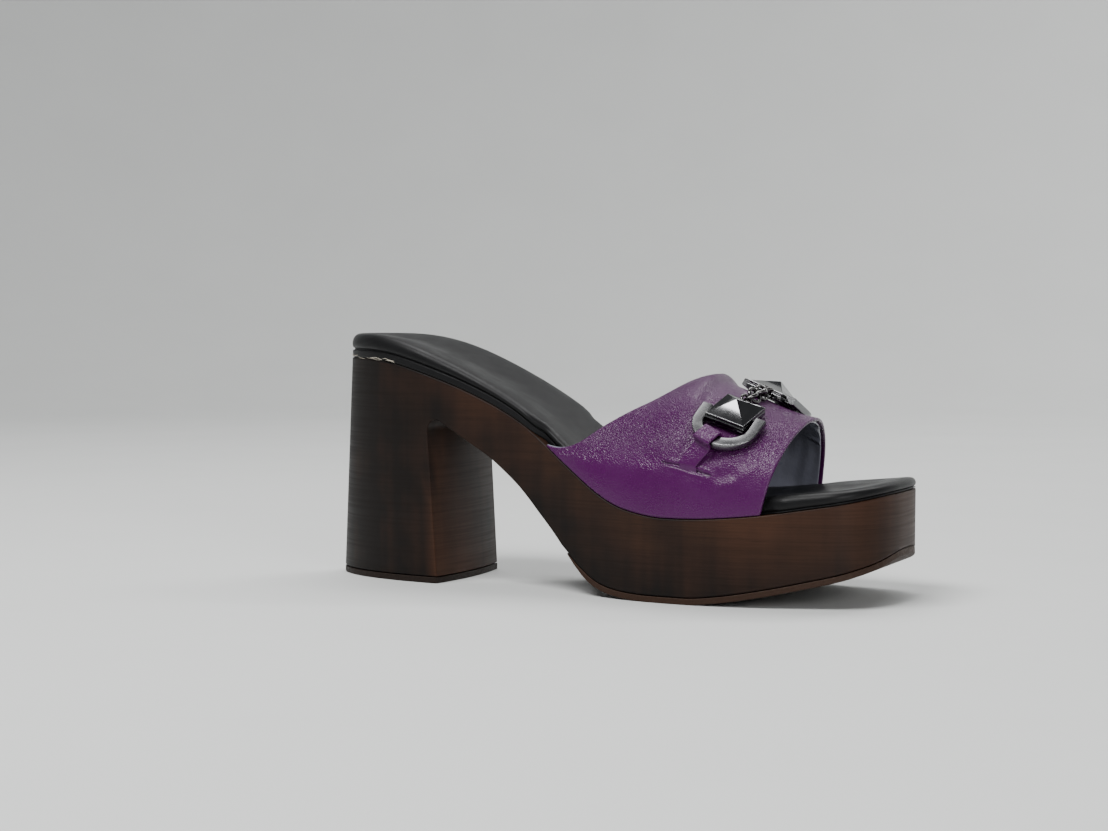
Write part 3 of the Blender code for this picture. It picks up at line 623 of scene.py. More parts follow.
def tab_path(side):
    """Centre line of a tab and the direction of its width at each point: up inside the ring,
    over the ring's bar, and straight down to a slit on the vamp's side."""
    half = TAB_THICKNESS / 2 + GAP
    near, far = -RING_BAND / 2 - half - TAB_SLACK, RING_BAND / 2 + half
    crown = RING_LIFT + RING_THICKNESS / 2 + half
    under = RING_LIFT - RING_THICKNESS / 2
    ease = 0.8 * half
    rows = [(near, under - half), (near, crown - ease), (near + ease, crown), (0, crown),
            (far - ease, crown), (far, crown - ease), (far, under)]
    frame = tab_frame(side)
    loop_round = placed(np.array([(0, down, height) for down, height in rows]), frame)
    places = TAB_FOOT_ACROSS[side] - np.array(TAB_FOOT_STEPS[side]) * side
    foot = vamp_point(TAB_FOOT_ALONG, places, np.full(3, half))
    ahead = vamp_point(TAB_FOOT_ALONG + 1e-3, places) - vamp_point(TAB_FOOT_ALONG, places)
    ahead /= np.linalg.norm(ahead, axis=1)[:, None]
    widths = np.concatenate([np.tile(frame[1], (len(rows), 1)), ahead])
    return np.concatenate([loop_round, foot]), widths


def grid_mesh(name, panels, finishes, sharp=None):
    """One closed mesh from grids of points that share their borders: the borders are merged, and
    the faces are turned outwards."""
    points = np.concatenate([panel.reshape(-1, 3) for panel in panels]) - (ORIGIN_FROM_BACK, 0, 0)
    sizes = [panel.shape[0] * panel.shape[1] for panel in panels]
    starts = np.concatenate([[0], np.cumsum(sizes)[:-1]])
    faces = [grid_faces(*panel.shape[:2]) + start for panel, start in zip(panels, starts)]
    data = bpy.data.meshes.new(name)
    data.from_pydata(points.tolist(), [], np.concatenate(faces).tolist())
    merged = bmesh.new()
    merged.from_mesh(data)
    bmesh.ops.remove_doubles(merged, verts=merged.verts, dist=1e-6)
    bmesh.ops.dissolve_degenerate(merged, edges=merged.edges, dist=1e-6)
    bmesh.ops.recalc_face_normals(merged, faces=merged.faces)
    merged.to_mesh(data)
    merged.free()
    for made in finishes:
        data.materials.append(made)
    data.shade_smooth()
    if sharp:
        data.set_sharp_from_angle(angle=math.radians(sharp))
    shown = bpy.data.objects.new(name, data)
    bpy.context.scene.collection.objects.link(shown)
    return shown


def eased_edges(shown, width, segments=3, edge_wear_and_shade=-1):
    """Rounds every edge sharper than 35 degrees. The last argument is the slot of the finish on the rounding; on the
    wooden unit that finish carries a little wear and painted shade.
    """
    edges = shown.modifiers.new("eased_edges", "BEVEL")
    edges.width = width
    edges.segments = segments
    edges.limit_method = "ANGLE"
    edges.angle_limit = math.radians(35)
    edges.harden_normals = True
    edges.use_clamp_overlap = False
    edges.material = edge_wear_and_shade
    return shown


def stands_for(shown, slot, *nodes):
    """Says what a piece rides on and which solids it is shown for. slot is not used."""
    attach(shown, "root")
    if nodes:
        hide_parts(*nodes)
    return shown


def marked(shown, name, value):
    """Keeps one number for each point of a mesh, worked out from the points' places."""
    data = shown.data
    flat = np.empty(len(data.vertices) * 3)
    data.vertices.foreach_get("co", flat)
    places = flat.reshape(-1, 3) + (ORIGIN_FROM_BACK, 0, 0)
    kept = data.attributes.new(name, "FLOAT", "POINT")
    kept.data.foreach_set("value", value(places).astype(np.float32))


class Finish:
    """A material while it is laid up: its nodes, its shader and the object's own coordinates."""

    def __init__(self, name, **settings):
        self.material = bpy.data.materials.new(name)
        self.material.use_nodes = True
        self.tree = self.material.node_tree
        self.shader = self.tree.nodes["Principled BSDF"]
        self.place = self.node("ShaderNodeTexCoord").outputs["Object"]
        for socket, value in settings.items():
            self.shader.inputs[socket.replace("_", " ")].default_value = value

    def node(self, kind, **sockets):
        """A node with its sockets set: a number is kept on the socket, and an output is linked."""
        made = self.tree.nodes.new(kind)
        for name, value in sockets.items():
            self.join(made.inputs[name.replace("_", " ")], value)
        return made

    def join(self, socket, value):
        if isinstance(value, bpy.types.NodeSocket):
            self.tree.links.new(value, socket)
        else:
            socket.default_value = value

    def stretched(self, scale, turn=(0, 0, 0), at=None):
        """Coordinates scaled by another amount along each axis, for grain that runs one way."""
        return self.node("ShaderNodeMapping", Vector=at or self.place, Scale=scale, Rotation=turn).outputs[0]

    def noise(self, scale, detail=3.0, rough=0.5, at=None, **more):
        made = self.node("ShaderNodeTexNoise", Vector=at or self.place, Scale=scale, Detail=detail,
                         Roughness=rough, **more)
        return made.outputs["Fac"]

    def wobbled(self, scale, amount):
        """The coordinates pushed about by a noise, so that a pattern doesn't look ruled."""
        noise = self.node("ShaderNodeTexNoise", Vector=self.place, Scale=scale, Detail=2.0)
        push = self.node("ShaderNodeVectorMath", Vector=noise.outputs["Color"])
        push.operation = "SCALE"
        push.inputs["Scale"].default_value = amount
        total = self.node("ShaderNodeVectorMath", Vector=self.place)
        total.operation = "ADD"
        self.join(total.inputs[1], push.outputs[0])
        return total.outputs[0]

    def pebbles(self, scale, at, spread=1.0):
        """Rounded cells of leather grain: the distance to the nearest cell wall."""
        cells = self.node("ShaderNodeTexVoronoi", Vector=at, Scale=scale, Randomness=spread)
        cells.feature = "DISTANCE_TO_EDGE"
        return self.between(cells.outputs["Distance"], 0.0, 0.28, 0.0, 1.0)

    def between(self, value, low, high, to_low, to_high, soft=True):
        """A value carried from one range to another."""
        made = self.node("ShaderNodeMapRange", Value=value, From_Min=low, From_Max=high, To_Min=to_low,
                         To_Max=to_high)
        made.interpolation_type = "SMOOTHSTEP" if soft else "LINEAR"
        return made.outputs[0]

    def sum_of(self, first, second, operation="ADD"):
        made = self.node("ShaderNodeMath")
        made.operation = operation
        self.join(made.inputs[0], first)
        self.join(made.inputs[1], second)
        return made.outputs[0]

    def mixed(self, share, first, second):
        """Two colours mixed by a share."""
        made = self.node("ShaderNodeMix")
        made.data_type = "RGBA"
        self.join(made.inputs["Factor"], share)
        for socket, colour in ((made.inputs[6], first), (made.inputs[7], second)):
            self.join(socket, colour if isinstance(colour, bpy.types.NodeSocket) else (*colour, 1))
        return made.outputs[2]

    def height(self, coordinate):
        """One coordinate of the object: X, Y or Z."""
        return self.node("ShaderNodeSeparateXYZ", Vector=self.place).outputs[coordinate]

    def kept(self, name):
        made = self.node("ShaderNodeAttribute")
        made.attribute_name = name
        return made.outputs["Fac"]

    def bump(self, height, distance, strength=1.0, over=None):
        made = self.node("ShaderNodeBump", Height=height, Distance=distance, Strength=strength)
        if over:
            self.join(made.inputs["Normal"], over)
        return made.outputs[0]

    def laid(self, colour=None, roughness=None, normal=None):
        for socket, value in (("Base Color", colour), ("Roughness", roughness), ("Normal", normal)):
            if value is not None:
                self.join(self.shader.inputs[socket], value)
        return self.material


def purple_leather(name, grain=1.0):
    """Full-grain leather: pebbles of about 0.7 mm with finer pores, flatter low on the side. Its colour is darkened
    towards the crest and along the slits as painted shade.
    """
    f = Finish(name, Specular_IOR_Level=0.34)
    cells = f.pebbles(1150, f.wobbled(700, 0.00055))
    pores = f.noise(4200, 2.0)
    patches = f.noise(45, 3.0)
    tint = f.mixed(patches, (0.059, 0.0034, 0.061), (0.072, 0.0054, 0.075))
    colour = f.mixed(f.between(cells, 0.0, 0.7, 0.22, 0.0), tint, (0.046, 0.0032, 0.050))
    strength = f.between(f.height("Z"), 0.047, 0.061, 0.20 * grain, grain)
    strength = f.sum_of(strength, f.between(f.height("Z"), 0.066, 0.078, 0.0, -0.65 * grain))
    normal = f.bump(cells, 0.00027, strength)
    normal = f.bump(pores, 0.00002, 0.5, normal)
    normal = f.bump(f.noise(260, 2.0), 0.00012, 0.35, normal)
    # painted shade: the colour darkens with height towards the crest
    colour = f.mixed(f.between(f.height("Z"), 0.064, 0.080, 0.0, 0.6), colour, (0.032, 0.0010, 0.034))
    # painted shade along the slits, by the kept shade share
    colour = f.mixed(f.kept("shade"), colour, (0.012, 0.0008, 0.013))
    polish = f.between(f.noise(120, 3.0), 0.3, 0.7, 0.25, 0.34)
    polish = f.sum_of(polish, f.between(f.height("Z"), 0.064, 0.078, 0.0, 0.02))
    return f.laid(colour, polish, normal)


def crinkled_lining():
    """Thin glossy navy-black lining: broad soft crinkles over a fine pore. Its colour is painted much lighter than
    navy-black, as painted light for the light that enters the mouth.
    """
    f = Finish("navy_lining_painted_light", Specular_IOR_Level=0.55, Coat_Weight=0.25, Coat_Roughness=0.22)
    # painted light: this grey-blue tint stands in for light entering the mouth; the lining itself is navy-black
    tint = f.mixed(f.noise(90, 3.0), (0.11, 0.114, 0.15), (0.25, 0.255, 0.31))
    normal = f.bump(f.noise(170, 4.0, 0.6), 0.0007, 0.6)
    normal = f.bump(f.noise(2600, 2.0), 0.00003, 0.6, normal)
    return f.laid(tint, f.between(f.noise(60), 0.3, 0.7, 0.26, 0.42), normal)


def footbed_leather():
    """Black grained leather of the footbed, polished a little where the foot slides."""
    f = Finish("black_footbed_leather", Specular_IOR_Level=0.15)
    cells = f.pebbles(1700, f.wobbled(900, 0.0004))
    tint = f.mixed(f.noise(50, 3.0), (0.0065, 0.0065, 0.0069), (0.0100, 0.0100, 0.0106))
    normal = f.bump(cells, 0.00003, 0.5)
    normal = f.bump(f.noise(120, 3.0), 0.0002, 0.3, normal)
    return f.laid(tint, f.between(f.noise(75, 3.0), 0.3, 0.7, 0.34, 0.46), normal)


def burnished_wood(name, edge_wear_and_shade=0.0):
    """Wood-look unit: fine grain lines along the shoe, faint upright bands, and a warmer brown
    where the kept tone is high. The second argument warms the rounded edges a little, as wear,
    and darkens them towards the unit's top as painted shade where the footbed and vamp sit on it."""
    f = Finish(name, Specular_IOR_Level=0.11)
    grain = f.noise(1.0, 5.0, 0.62, f.stretched((22, 22, 1300)))
    pores = f.noise(1.0, 3.0, 0.6, f.stretched((110, 110, 3200)))
    bands = f.noise(1.0, 2.0, 0.5, f.stretched((150, 150, 9)))
    warm = f.sum_of(f.kept("tone"), f.between(bands, 0.3, 0.7, -0.12, 0.12, False))
    warm = f.sum_of(warm, f.between(f.noise(42, 3.0), 0.3, 0.7, -0.18, 0.18, False))
    if edge_wear_and_shade:
        # painted shade: the rounded edges turn darker towards the unit's top, under the footbed and vamp; lower down
        # they warm a little as wear
        warm = f.sum_of(warm, f.between(f.kept("rise"), 0.80, 1.0, edge_wear_and_shade, -0.3))
    ground = f.mixed(warm, (0.0100, 0.0080, 0.0073), (0.049, 0.0225, 0.0135))
    colour = f.mixed(f.between(grain, 0.40, 0.66, 0.0, 0.24), ground, (0.0075, 0.0045, 0.0036))
    colour = f.mixed(f.between(pores, 0.55, 0.75, 0.0, 0.30), colour, (0.005, 0.0036, 0.003))
    normal = f.bump(f.sum_of(grain, pores), 0.000015, 0.5)
    return f.laid(colour, f.between(grain, 0.3, 0.7, 0.42, 0.52), normal)


def tread_rubber(name, colour):
    f = Finish(name, Specular_IOR_Level=0.2)
    speckle = f.noise(900, 3.0)
    tint = f.mixed(speckle, colour, tuple(0.6 * part for part in colour))
    return f.laid(tint, f.between(speckle, 0.3, 0.7, 0.5, 0.68), f.bump(speckle, 0.00005, 0.5))


def cast_metal(name, colour, low, high, scratch=0.00001):
    """Plated casting: a faint cloud in the polish and hairline scratches."""
    f = Finish(name, Metallic=1.0)
    cloud = f.noise(140, 3.0)
    hairs = f.noise(1.0, 4.0, 0.6, f.stretched((2600, 240, 900), (0.3, 0.5, 0.4)))
    tint = f.mixed(cloud, colour, tuple(0.82 * part for part in colour))
    return f.laid(tint, f.between(cloud, 0.3, 0.7, low, high), f.bump(hairs, scratch, 0.5))


def plain_stuff(name, colour, roughness, scale):
    """Thread, glue or floor: a plain matt colour with a faint cloud."""
    f = Finish(name, Specular_IOR_Level=0.3)
    cloud = f.noise(scale, 3.0)
    return f.laid(f.mixed(cloud, colour, tuple(0.93 * part for part in colour)),
                  f.between(cloud, 0.3, 0.7, roughness - 0.05, roughness + 0.05), None)


# Where the unit's brown is warm: the share along the shoe, at its top and at its foot.
WOOD_TONE = table(
    "along top foot",
    (0.000, 0.00, 0.00),
    (0.150, 0.05, 0.00),
    (0.240, 0.30, 0.10),
    (0.310, 0.60, 0.40),
    (0.400, 0.60, 0.15),
    (0.500, 0.50, 0.00),
    (0.620, 0.50, 0.00),
    (0.800, 0.98, 0.12),
    (0.940, 1.00, 0.35),
    (1.000, 0.70, 0.40),
)


def wood_rise(places):
    """Height as a share of the way from the underside to the top."""
    x, z = places[:, 0], places[:, 2]
    top, foot = top_height(x), np.where(x < HEEL_DEPTH, 0, under_height(x))
    return np.clip((z - foot) / np.maximum(top - foot, 1e-4), 0, 1)


def wood_tone(places):
    """Warmth of the brown: read from the table along the shoe and mixed by the height. The breast
    is warmest near its outer edge."""
    x, z = places[:, 0], places[:, 2]
    rise = wood_rise(places)
    along = x / LENGTH
    high = smooth(along, WOOD_TONE["along"], WOOD_TONE["top"])
    low = smooth(along, WOOD_TONE["along"], WOOD_TONE["foot"])
    across = (places[:, 1] - centre_line(x)) / np.maximum(half_width(x), 1e-4)
    breast = (x > HEEL_DEPTH - 0.003) & (x < HEEL_DEPTH + BREAST_FILLET) & (z < SHANK_HEIGHT - BREAST_FILLET)
    return np.where(breast, 0.55 - 0.30 * across, low + (high - low) * rise)


def make_wooden_unit(finishes):
    """The unit's top, underside, walls, heel sides and breast, as wood_point gives them."""
    heel = stations(BACK_LEAN, HEEL_DEPTH, HEEL_DEPTH - BACK_LEAN, 0)[:HEEL_STATIONS + 1]
    body = body_stations()
    every = np.concatenate([heel[:-1], body])
    wall = np.arange(WALL_ROWS + 1)
    block = np.arange(WALL_ROWS, WALL_ROWS + FILLET_ROWS + HEEL_ROWS + 1)
    across = np.linspace(0, 1, ACROSS_STEPS + 1)
    panels = [wood_point(every[:, None], 0, across), wood_point(body[:, None], WALL_ROWS, across)]
    for side in (0, 1):
        panels.append(wood_point(every[:, None], wall, side))
        panels.append(wood_point(heel[:, None], block, side))
    panels.append(wood_point(HEEL_DEPTH, block[:, None], across))
    panels.append(wood_point(heel[:, None], block[-1], across))
    shown = grid_mesh("wood_unit", panels, finishes)
    marked(shown, "tone", wood_tone)
    marked(shown, "rise", wood_rise)
    return eased_edges(shown, WOOD_EASING, edge_wear_and_shade=1)


def slab(name, low, high, edges, finish, easing):
    """A thin layer: its underside, its top and the walls along the edges named."""
    panels = [low, high] + [np.stack([low[edge], high[edge]]) for edge in edges]
    return eased_edges(grid_mesh(name, panels, [finish]), easing, 2)


def make_top_piece(finish):
    """Wearing piece: the heel block's lowest outline, drawn down to the floor."""
    x = stations(BACK_LEAN, HEEL_DEPTH, HEEL_DEPTH - BACK_LEAN, 0)[:HEEL_STATIONS + 1]
    face = wood_point(x[:, None], WALL_ROWS + FILLET_ROWS + HEEL_ROWS, np.linspace(0, 1, ACROSS_STEPS + 1))
    low, high = face.copy(), face.copy()
    low[..., 2] = 0.0
    high[..., 2] = TOP_PIECE_THICKNESS
    return slab("top_piece", low, high, (np.s_[:, 0], np.s_[:, -1], np.s_[-1, :]), finish, LAYER_EASING)


def make_tread(finish):
    """Tread: the underside's line, and its thickness above it, between the drawn-in walls."""
    every = body_stations()
    x = every[every > OUTSOLE_START + OUTSOLE_FEATHER * OUTSOLE_LIP / 2]
    across = np.linspace(0, 1, ACROSS_STEPS + 1)
    half = tapered_half_width(x, top_height(x) - under_height(x))
    y = centre_line(x)[:, None] + half[:, None] * (2 * across - 1)
    wide = np.broadcast_to(x[:, None], y.shape)
    low = np.stack([wide, y, under_height(wide)], -1)
    high = low + (0, 0, 1) * (OUTSOLE_THICKNESS * outsole_share(wide))[..., None]
    return slab("tread", low, high, (np.s_[:, 0], np.s_[:, -1], np.s_[0, :]), finish, LAYER_EASING)


# Edge of the footbed from its foot to its top: how far in, as a share of the roll's depth, and
# how high, as shares of the board's and of the padding's thickness.
FOOTBED_EDGE = table(
    "row inset board padding",
    (0, 0.05, 0.00, 0.00),
    (1, 0.02, 0.12, 0.00),
    (2, 0.02, 0.70, 0.00),
    (3, 0.06, 0.84, 0.00),
    (4, 0.17, 0.93, 0.00),
    (5, 0.18, 1.00, 0.02),
    (6, 0.05, 1.00, 0.10),
    (7, 0.00, 1.00, 0.28),
    (8, 0.02, 1.00, 0.50),
    (9, 0.13, 1.00, 0.74),
    (10, 0.34, 1.00, 0.91),
    (11, 0.62, 1.00, 0.985),
    (12, 1.00, 1.00, 1.00),
)

# Soft creases across the footbed: where along the shoe, how wide in metres, how deep in metres.
FOOTBED_CREASES = table(
    "along width depth",
    (0.215, 0.0016, 0.00016),
    (0.305, 0.0022, 0.00022),
    (0.352, 0.0015, 0.00018),
    (0.405, 0.0020, 0.00025),
    (0.905, 0.0016, 0.00012),
)


def board_height(x):
    """The board's edge shows at the heel and runs out towards the ball."""
    return BOARD_THICKNESS * (1 - BOARD_FADE * eased(x / LENGTH, *BOARD_FADES))


DISH_RUN = 0.022


def make_footbed(finish):
    """Board, groove and padded roll as outlines stacked by FOOTBED_EDGE, then a top that dishes
    between the rolls and carries the soft creases."""
    x = stations(BACK_LEAN, LENGTH, HEEL_ROUND, TOE_ROUND)
    inset = insole_inset(x)
    edge = FOOTBED_EDGE
    rings = []
    for row in np.linspace(0, edge["row"][-1], FOOTBED_ROWS):
        into, board, padding = (smooth(row, edge["row"], edge[name]) for name in ("inset", "board", "padding"))
        rings.append(plan_loop(
            x, inset + into * INSOLE_ROLL,
            lambda at, board=board, padding=padding: top_height(at) + GAP + board * board_height(at)
            + padding * (insole_thickness(at) - board_height(at) - GAP),
        ))
    walls = np.stack([np.concatenate([ring, ring[:1]]) for ring in rings])
    back, front = rings[-1][:, 0].min(), rings[-1][:, 0].max()
    top = rungs(rings[-1], lambda at: INSOLE_DISH * eased(at, back, back + DISH_RUN)
                * (1 - eased(at, front - DISH_RUN, front)))
    across = np.linspace(-1, 1, ACROSS_STEPS + 1)
    for along, width, depth in zip(*FOOTBED_CREASES.values()):
        away = (top[..., 0] - along * LENGTH + 0.004 * across**2) / width
        top[..., 2] -= depth * np.exp(-away**2) * (1 - across**2)
    return grid_mesh("footbed", [rungs(rings[0]), walls, top], [finish])


def crease(points, start, end, width, depth):
    """Lift of a straight crease on the vamp: a trough of the given width along the line between
    two places, with a low ridge on each side, fading at both ends."""
    first, last = vamp_point(*start), vamp_point(*end)
    line = last - first
    share = np.clip((points - first) @ line / (line @ line), 0, 1)
    away = np.linalg.norm(points - first - share[..., None] * line, axis=-1) / width
    fade = 1 - (2 * share - 1) ** 4
    return depth * fade * (0.45 * np.exp(-((away - 1.8) / 0.8) ** 2) - np.exp(-away**2))


def swell(points, place, radius, height):
    """Lift of a soft round swelling on the vamp: a bell curve of the distance from a place."""
    away = np.linalg.norm(points - vamp_point(*place), axis=-1) / radius
    return height * np.exp(-away**2)


# Creases of the vamp: place where each starts and ends (along in metres, then across), with its
# width and depth in metres. The first row is the slit that the tab goes into.
CREASES = (
    ((0.1550, 0.1186), (0.1742, 0.1043), 0.00075, 0.00070),
    ((0.1716, 0.1080), (0.1745, 0.1900), 0.0008, 0.00030),
    ((0.1612, 0.1250), (0.1640, 0.1900), 0.0009, 0.00022),
    ((0.1752, 0.1000), (0.1850, 0.1200), 0.0022, 0.00035),
    ((0.1790, 0.1180), (0.1900, 0.1900), 0.0026, 0.00030),
    ((0.1555, 0.1160), (0.1450, 0.1350), 0.0024, 0.00022),
    ((0.1100, 0.0300), (0.1180, 0.1000), 0.0022, 0.00025),
)
SWELLS = (
    ((0.1500, 0.1900), 0.0100, 0.00045),
    ((0.1840, 0.1700), 0.0080, 0.00050),
    ((0.1650, 0.0800), 0.0070, 0.00030),
    ((0.1340, 0.1200), 0.0120, 0.00025),
)
MEDIAL_CREASES = (
    ((0.1550, 0.8814), (0.1742, 0.8957), 0.00075, 0.00070),
    ((0.1752, 0.9000), (0.1850, 0.8800), 0.0022, 0.00035),
    ((0.1555, 0.8840), (0.1450, 0.8650), 0.0024, 0.00022),
)
LINING_CREASES = (
    ((0.1985, 0.6000), (0.1960, 0.8200), 0.0011, 0.00050),
    ((0.1950, 0.6600), (0.1930, 0.9000), 0.0009, 0.00045),
    ((0.1995, 0.7000), (0.1965, 0.9300), 0.0008, 0.00040),
    ((0.1900, 0.5600), (0.1960, 0.7200), 0.0014, 0.00045),
    ((0.1890, 0.7400), (0.1975, 0.7900), 0.0012, 0.00040),
    ((0.1980, 0.3600), (0.1900, 0.4600), 0.0012, 0.00030),
    ((0.1930, 0.1500), (0.1970, 0.3000), 0.0013, 0.00035),
    ((0.1500, 0.3000), (0.1850, 0.3500), 0.0016, 0.00030),
    ((0.1450, 0.6500), (0.1850, 0.6000), 0.0016, 0.00030),
)


# Line of the slit under each tab: where it starts and ends (along in metres, then across).
SLIT = {-1: ((0.1560, 0.1130), (0.1745, 0.0985)), 1: ((0.1560, 0.8870), (0.1745, 0.9015))}
SLIT_BEAD = 0.00050
SLIT_SHADE = 0.00042


def slit_shade(places):
    """How deep in a slit or a crease beside it each point of the leather lies, from 0 to 1."""
    shade = 0
    for start, end, width, depth in (CREASES[0], MEDIAL_CREASES[0]):
        first, last = vamp_point(*start), vamp_point(*end)
        line = last - first
        share = np.clip((places - first) @ line / (line @ line), 0, 1)
        away = np.linalg.norm(places - first - share[:, None] * line, axis=1)
        shade = np.maximum(shade, np.exp(-(away / SLIT_SHADE) ** 2))
    return shade


def leather_relief(points):
    """Lift of the vamp's outer face: all its creases and swellings added up."""
    lift = sum(crease(points, *row) for row in CREASES + MEDIAL_CREASES)
    return lift + sum(swell(points, *row) for row in SWELLS)


def lining_relief(points):
    """Lift of the lining: its creases, and slow waves that run from foot to foot."""
    lift = sum(crease(points, *row) for row in LINING_CREASES)
    x, y, z = points[..., 0], points[..., 1], points[..., 2]
    folds = np.sin(x * 760 + 3.0 * np.sin(z * 140 + y * 60)) * np.sin(x * 290 + 2.0 * np.sin(z * 90))
    return lift + 0.00032 * folds * (0.6 + 0.4 * np.sin(x * 97 + y * 210 + 0.7))


def shell(name, start, back, front, thickness, relief, finish, inner_relief=None):
    """Closed sheet on the vamp's shape. Its section runs along the outer face, round the front
    rim, back along the inner face and round the throat rim, both rims half round; start is the
    depth of its outer face, and back and front how far its rims keep from the vamp's edges."""
    across = np.linspace(0, 1, SHELL_ACROSS + 1)
    round_it = thickness / 2
    turn = np.linspace(0, math.pi, SHELL_RIM + 1)
    share = np.linspace(0, 1, SHELL_ALONG + 1)
    throat = smooth(across, VAMP_EDGES["across"], VAMP_EDGES["throat"]) * LENGTH + back
    mouth = smooth(across, VAMP_EDGES["across"], VAMP_EDGES["front"]) * LENGTH - front
    low, high = throat + round_it, mouth - round_it
    runs = [
        (low + (high - low) * share[:, None], 0 * share, 1 - 0 * share),
        (high + round_it * np.sin(turn)[1:-1, None], round_it * (1 - np.cos(turn))[1:-1], 0.5 + 0.5 * np.cos(turn)[1:-1]),
        (high + (low - high) * share[:, None], thickness + 0 * share, 0 * share),
        (low - round_it * np.sin(turn)[1:-1, None], round_it * (1 + np.cos(turn))[1:-1], 0.5 - 0.5 * np.cos(turn)[1:-1]),
    ]
    x = np.concatenate([run[0] for run in runs])
    depth = np.concatenate([run[1] for run in runs])[:, None]
    outer = np.concatenate([run[2] for run in runs])[:, None]
    x, depth, outer = (np.concatenate([part, part[:1]]) for part in (x, depth, outer))
    points = vamp_point(x, across)
    normal = vamp_normal(x, across)
    flat = np.clip(np.minimum(across, 1 - across) * VAMP_ACROSS / 3, 0, 1)
    normal[..., 2] *= flat
    normal[..., 0] *= flat
    normal /= np.linalg.norm(normal, axis=-1, keepdims=True)
    near_foot = np.clip(np.minimum(across, 1 - across) * FOOT_FADE, 0, 1)
    lift = relief(points) * outer
    if inner_relief:
        lift = lift + inner_relief(points) * (1 - outer)
    grid = points + normal * (lift * near_foot - depth - start)[..., None]
    half = len(grid) // 2
    ends = []
    for end in (0, -1):
        ring = grid[:, end]
        ends.append(np.stack([ring[:half + 1], ring[::-1][:half + 1]]))
    return grid_mesh(name, [grid] + ends, [finish])


def square_cap(spread, height):
    """Four corners of one level of a stud, closed."""
    corners = np.array([(-1, -1), (1, -1), (1, 1), (-1, 1), (-1, -1)]) / 2
    return np.column_stack([corners * (STUD_LENGTH, STUD_WIDTH) * spread, np.full(5, height)])


# Steps of a stud, from its foot up: share of its size, of its plate and of its pyramid. The plate
# has a narrow groove under its top lip.
CAP_STEPS = table(
    "spread plate pyramid",
    (0.93, 0.00, 0.00),
    (1.00, 0.10, 0.00),
    (1.00, 0.56, 0.00),
    (0.97, 0.60, 0.00),
    (0.97, 0.72, 0.00),
    (1.00, 0.76, 0.00),
    (1.00, 0.97, 0.00),
    (0.95, 1.00, 0.00),
    (0.02, 1.00, 1.00),
)


def make_cap(side, name, finish):
    """Stud: square levels stacked by CAP_STEPS."""
    levels = np.stack([square_cap(spread, GAP + plate * STUD_PLATE + pyramid * STUD_PYRAMID)
                       for spread, plate, pyramid in zip(*CAP_STEPS.values())])
    foot = np.stack([levels[0, :2], levels[0, 3:1:-1]])
    tip = np.stack([levels[-1, :2], levels[-1, 3:1:-1]])
    body = grid_mesh(name, [placed(part, stud_frame(side)) for part in (levels, foot, tip)], [finish], 20)
    return eased_edges(body, CAP_EASING, 3)


def wire_ring(name, radius, wire, frame_at, roll, finish):
    """Round wire ring, turned about the down axis and lifted to the chain's height."""
    grid = rolled(torus_grid(radius, wire), roll) + (0, 0, LINK_LIFT)
    return grid_mesh(name, [placed(grid, frame_at)], [finish])


def make_links(finish):
    """The links of the chain over the crest, each crosswise to its neighbours."""
    radius = link_radius()
    pitch = 2 * (radius - LINK_WIRE) - LINK_GAP
    for place in range(1, LINKS + 1):
        offset = (place - (LINKS + 1) / 2) * pitch
        at = vamp_frame(abs(offset), -1 if offset < 0 else 1)
        link = wire_ring(f"link_{place}", radius, LINK_WIRE, at, link_roll(place), finish)
        stands_for(link, "chain_metal", f"chain_link_{place}")


def rounded_box(width, height, radius, steps=4):
    """Section of a band: a rectangle whose corners are quarter circles, closed."""
    turns = np.linspace(0, math.pi / 2, steps + 1)
    corner = np.stack([np.cos(turns), np.sin(turns)], -1) * radius
    w, h = width / 2 - radius, height / 2 - radius
    parts = []
    for quarter, centre in enumerate(((w, h), (-w, h), (-w, -h), (w, -h))):
        c, s = math.cos(quarter * math.pi / 2), math.sin(quarter * math.pi / 2)
        parts.append(corner @ np.array([(c, s), (-s, c)]) + centre)
    section = np.concatenate(parts)
    return np.concatenate([section, section[:1]])


def end_caps(grid):
    """Both ends of a tube, filled by rungs between the two halves of the section."""
    caps = []
    for end in (grid[0], grid[-1]):
        half = (len(end) - 1) // 2
        caps.append(np.stack([end[:half + 1], end[::-1][:half + 1]]))
    return caps


def make_half_ring(side, name, finish):
    """Flat ring: the rounded section carried down one arm, round the bow and up the other."""
    path = ring_path(side)
    grid = tube(path, rounded_box(RING_BAND, RING_THICKNESS, RING_THICKNESS / 8), False)
    body = grid_mesh(name, [placed(part, ring_frame(side)) for part in [grid] + end_caps(grid)], [finish], 40)
    return body


def spline(points, steps):
    """Smooth curve through points: Catmull and Rom's cubic between each pair of neighbours."""
    ends = np.concatenate([[2 * points[0] - points[1]], points, [2 * points[-1] - points[-2]]])
    t = np.linspace(0, 1, steps, endpoint=False)[:, None]
    spans = []
    for a, b, c, d in zip(ends, ends[1:], ends[2:], ends[3:]):
        spans.append(0.5 * (2 * b + (c - a) * t + (2 * a - 5 * b + 4 * c - d) * t**2 + (3 * b - a - 3 * c + d) * t**3))
    return np.concatenate(spans + [points[-1:]])


